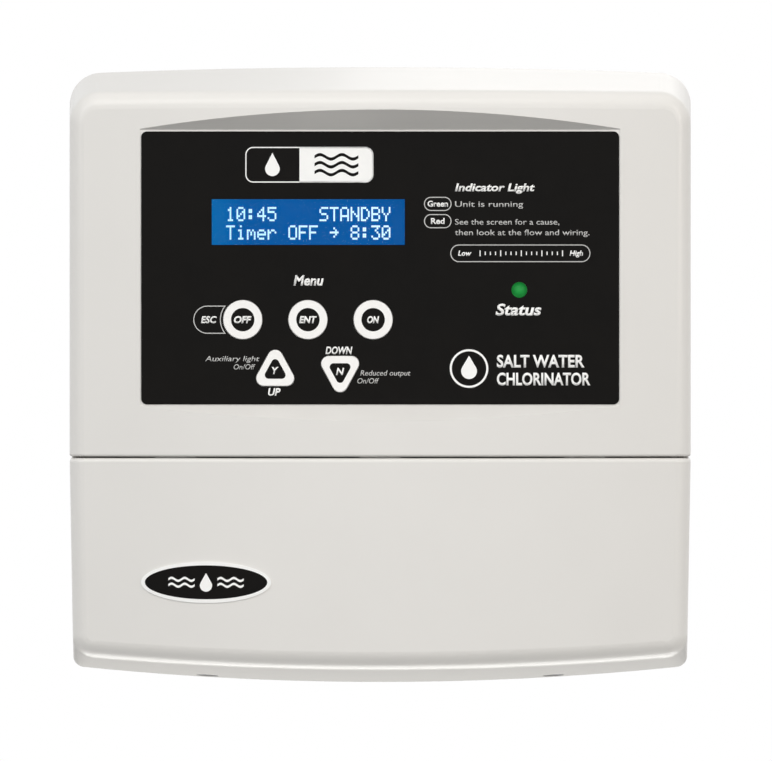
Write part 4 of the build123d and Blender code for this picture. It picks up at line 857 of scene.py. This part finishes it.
# ---------------------------------------------------------------- display characters
# Each character is seven rows of five dots, top row first, and a row is a number from 0 to 31.
DOTS = {
    "0": (14, 17, 19, 21, 25, 17, 14),
    "1": (4, 12, 4, 4, 4, 4, 14),
    "3": (31, 2, 4, 2, 1, 17, 14),
    "4": (2, 6, 10, 18, 31, 2, 2),
    "5": (31, 16, 30, 1, 1, 17, 14),
    "8": (14, 17, 17, 14, 17, 17, 14),
    ":": (0, 12, 12, 0, 12, 12, 0),
    ">": (0, 4, 2, 31, 2, 4, 0),
    "A": (14, 17, 17, 17, 31, 17, 17),
    "D": (28, 18, 17, 17, 17, 18, 28),
    "B": (30, 17, 17, 30, 17, 17, 30),
    "F": (31, 16, 16, 30, 16, 16, 16),
    "N": (17, 17, 25, 21, 19, 17, 17),
    "O": (14, 17, 17, 17, 17, 17, 14),
    "S": (15, 16, 16, 14, 1, 1, 30),
    "T": (31, 4, 4, 4, 4, 4, 4),
    "Y": (17, 17, 17, 10, 4, 4, 4),
    "e": (0, 0, 14, 17, 31, 16, 14),
    "i": (4, 0, 12, 4, 4, 4, 14),
    "m": (0, 0, 26, 21, 21, 17, 17),
    "r": (0, 0, 22, 25, 16, 16, 16),
}
READOUT = ("10:45    STANDBY", "Timer OFF > 8:30")
COLUMN_PITCH = 3.55
ROW_PITCH = 6.3
DOT_PITCH_X = 0.6
DOT_PITCH_Z = 0.7
DOT_WIDTH = 0.56
DOT_HEIGHT = 0.66


def display_characters():
    """The two lines of the readout, dot by dot, on the front of the display's glass."""
    x, z = middle_of("display_window")
    dots = Print()
    first_x = x - (len(READOUT[0]) - 1) * COLUMN_PITCH / 2 - 2 * DOT_PITCH_X
    for line, words in enumerate(READOUT):
        top = z + ROW_PITCH * (0.5 - line) + 3 * DOT_PITCH_Z - 0.4
        for column, letter in enumerate(words):
            for row, bits in enumerate(DOTS.get(letter, ())):
                for step in range(5):
                    if bits & (16 >> step):
                        left = first_x + column * COLUMN_PITCH + step * DOT_PITCH_X
                        low = top - row * DOT_PITCH_Z
                        dots.block(left - DOT_WIDTH / 2, low - DOT_HEIGHT / 2, DOT_WIDTH, DOT_HEIGHT)
    dots.lay("display_characters", "display_glass", "case", display_dots(), "display_blue")


# ---------------------------------------------------------------- camera, floor and light
CAMERA_AWAY = 3.091
CAMERA_X = 2.0 * MM
LENS = 409.0
FLOOR_Z = -0.6
FLOOR_RADIUS = 9.0


def make_camera():
    camera = bpy.data.objects.new("camera", bpy.data.cameras.new("camera"))
    camera.location = (CAMERA_X, -CAMERA_AWAY, 0)
    camera.rotation_euler = (math.pi / 2, 0, 0)
    camera.data.lens = LENS
    scene.collection.objects.link(camera)
    scene.camera = camera


def make_floor():
    """A wide pale floor well below the box, which shows from above only."""
    mesh = bpy.data.meshes.new("floor")
    flat = bmesh.new()
    bmesh.ops.create_circle(flat, cap_ends=True, segments=96, radius=FLOOR_RADIUS)
    flat.to_mesh(mesh)
    flat.free()
    floor = bpy.data.objects.new("floor", mesh)
    floor.location.z = FLOOR_Z
    scene.collection.objects.link(floor)
    material, tree, shader = new_material("floor_paint")
    at = place(tree)
    colour = mix(tree, spread(tree, noise(tree, at, 0.5), 0, 1), srgb(240, 239, 237), srgb(234, 233, 231))
    tree.links.new(colour, shader.inputs["Base Color"])
    tree.links.new(spread(tree, noise(tree, at, 0.1), 0.75, 0.9), shader.inputs["Roughness"])
    clear = node(tree, "ShaderNodeBsdfTransparent")
    side = node(tree, "ShaderNodeNewGeometry")
    both = node(tree, "ShaderNodeMixShader", {
        0: side.outputs["Backfacing"], 1: shader.outputs["BSDF"], 2: clear.outputs["BSDF"],
    })
    tree.links.new(both.outputs["Shader"], tree.nodes["Material Output"].inputs["Surface"])
    mesh.materials.append(material)
    floor.visible_diffuse = False
    floor.visible_glossy = False


def make_studio():
    """White walls above the horizon, shade below it."""
    world = bpy.data.worlds.new("studio")
    world.use_nodes = True
    tree = world.node_tree
    coordinates = node(tree, "ShaderNodeTexCoord")
    height = node(tree, "ShaderNodeSeparateXYZ", {0: coordinates.outputs["Generated"]}).outputs["Z"]
    ramp = node(tree, "ShaderNodeValToRGB", {0: spread(tree, height, 0, 1, -1, 1)})
    stops = ((0.0, 0.19), (0.45, 0.21), (0.475, 1.0), (0.60, 1.0), (0.75, 0.62), (1.0, 0.62))
    while len(ramp.color_ramp.elements) < len(stops):
        ramp.color_ramp.elements.new(0.5)
    for element, (position, level) in zip(ramp.color_ramp.elements, stops):
        element.position = position
        element.color = (level, level, level, 1)
    background = tree.nodes["Background"]
    tree.links.new(ramp.outputs["Color"], background.inputs["Color"])
    background.inputs["Strength"].default_value = 1.0
    scene.world = world


def soft_box(name, place_at, aim, width, height, power, colour):
    light = bpy.data.lights.new(name, "AREA")
    light.shape = "RECTANGLE"
    light.size = width
    light.size_y = height
    light.energy = power
    light.color = colour
    holder = bpy.data.objects.new(name, light)
    holder.location = place_at
    holder.rotation_euler = (Vector(aim) - Vector(place_at)).to_track_quat("-Z", "Y").to_euler()
    scene.collection.objects.link(holder)


def make_lights():
    soft_box("key_light", (-0.25, -1.1, 1.15), (0, 0, 0), 1.3, 0.7, 6.4, (1.0, 0.99, 0.97))
    soft_box("front_light", (0, -2.6, 0.45), (0, 0, 0), 1.6, 1.2, 8.6, (1.0, 1.0, 0.99))
    soft_box("left_light", (-1.1, -0.9, 0.55), (0, 0, 0.03), 0.35, 0.9, 2.0, (0.97, 0.98, 1.0))
    soft_box("right_light", (1.1, -0.9, 0.45), (0, 0, 0.03), 0.35, 0.9, 3.6, (1.0, 0.91, 0.82))
    soft_box("back_light", (0.5, 1.4, 0.9), (0, 0, 0), 1.2, 0.8, 2.2, (1.0, 1.0, 1.0))
    soft_box("low_light", (0, 0.12, -0.55), (0, -0.06, -0.1), 0.9, 0.35, 4.2, (1.0, 0.99, 0.97))


paint_nodes()
print_everything()
display_characters()
make_camera()
make_floor()
make_studio()
make_lights()
scene.view_settings.view_transform = "Standard"
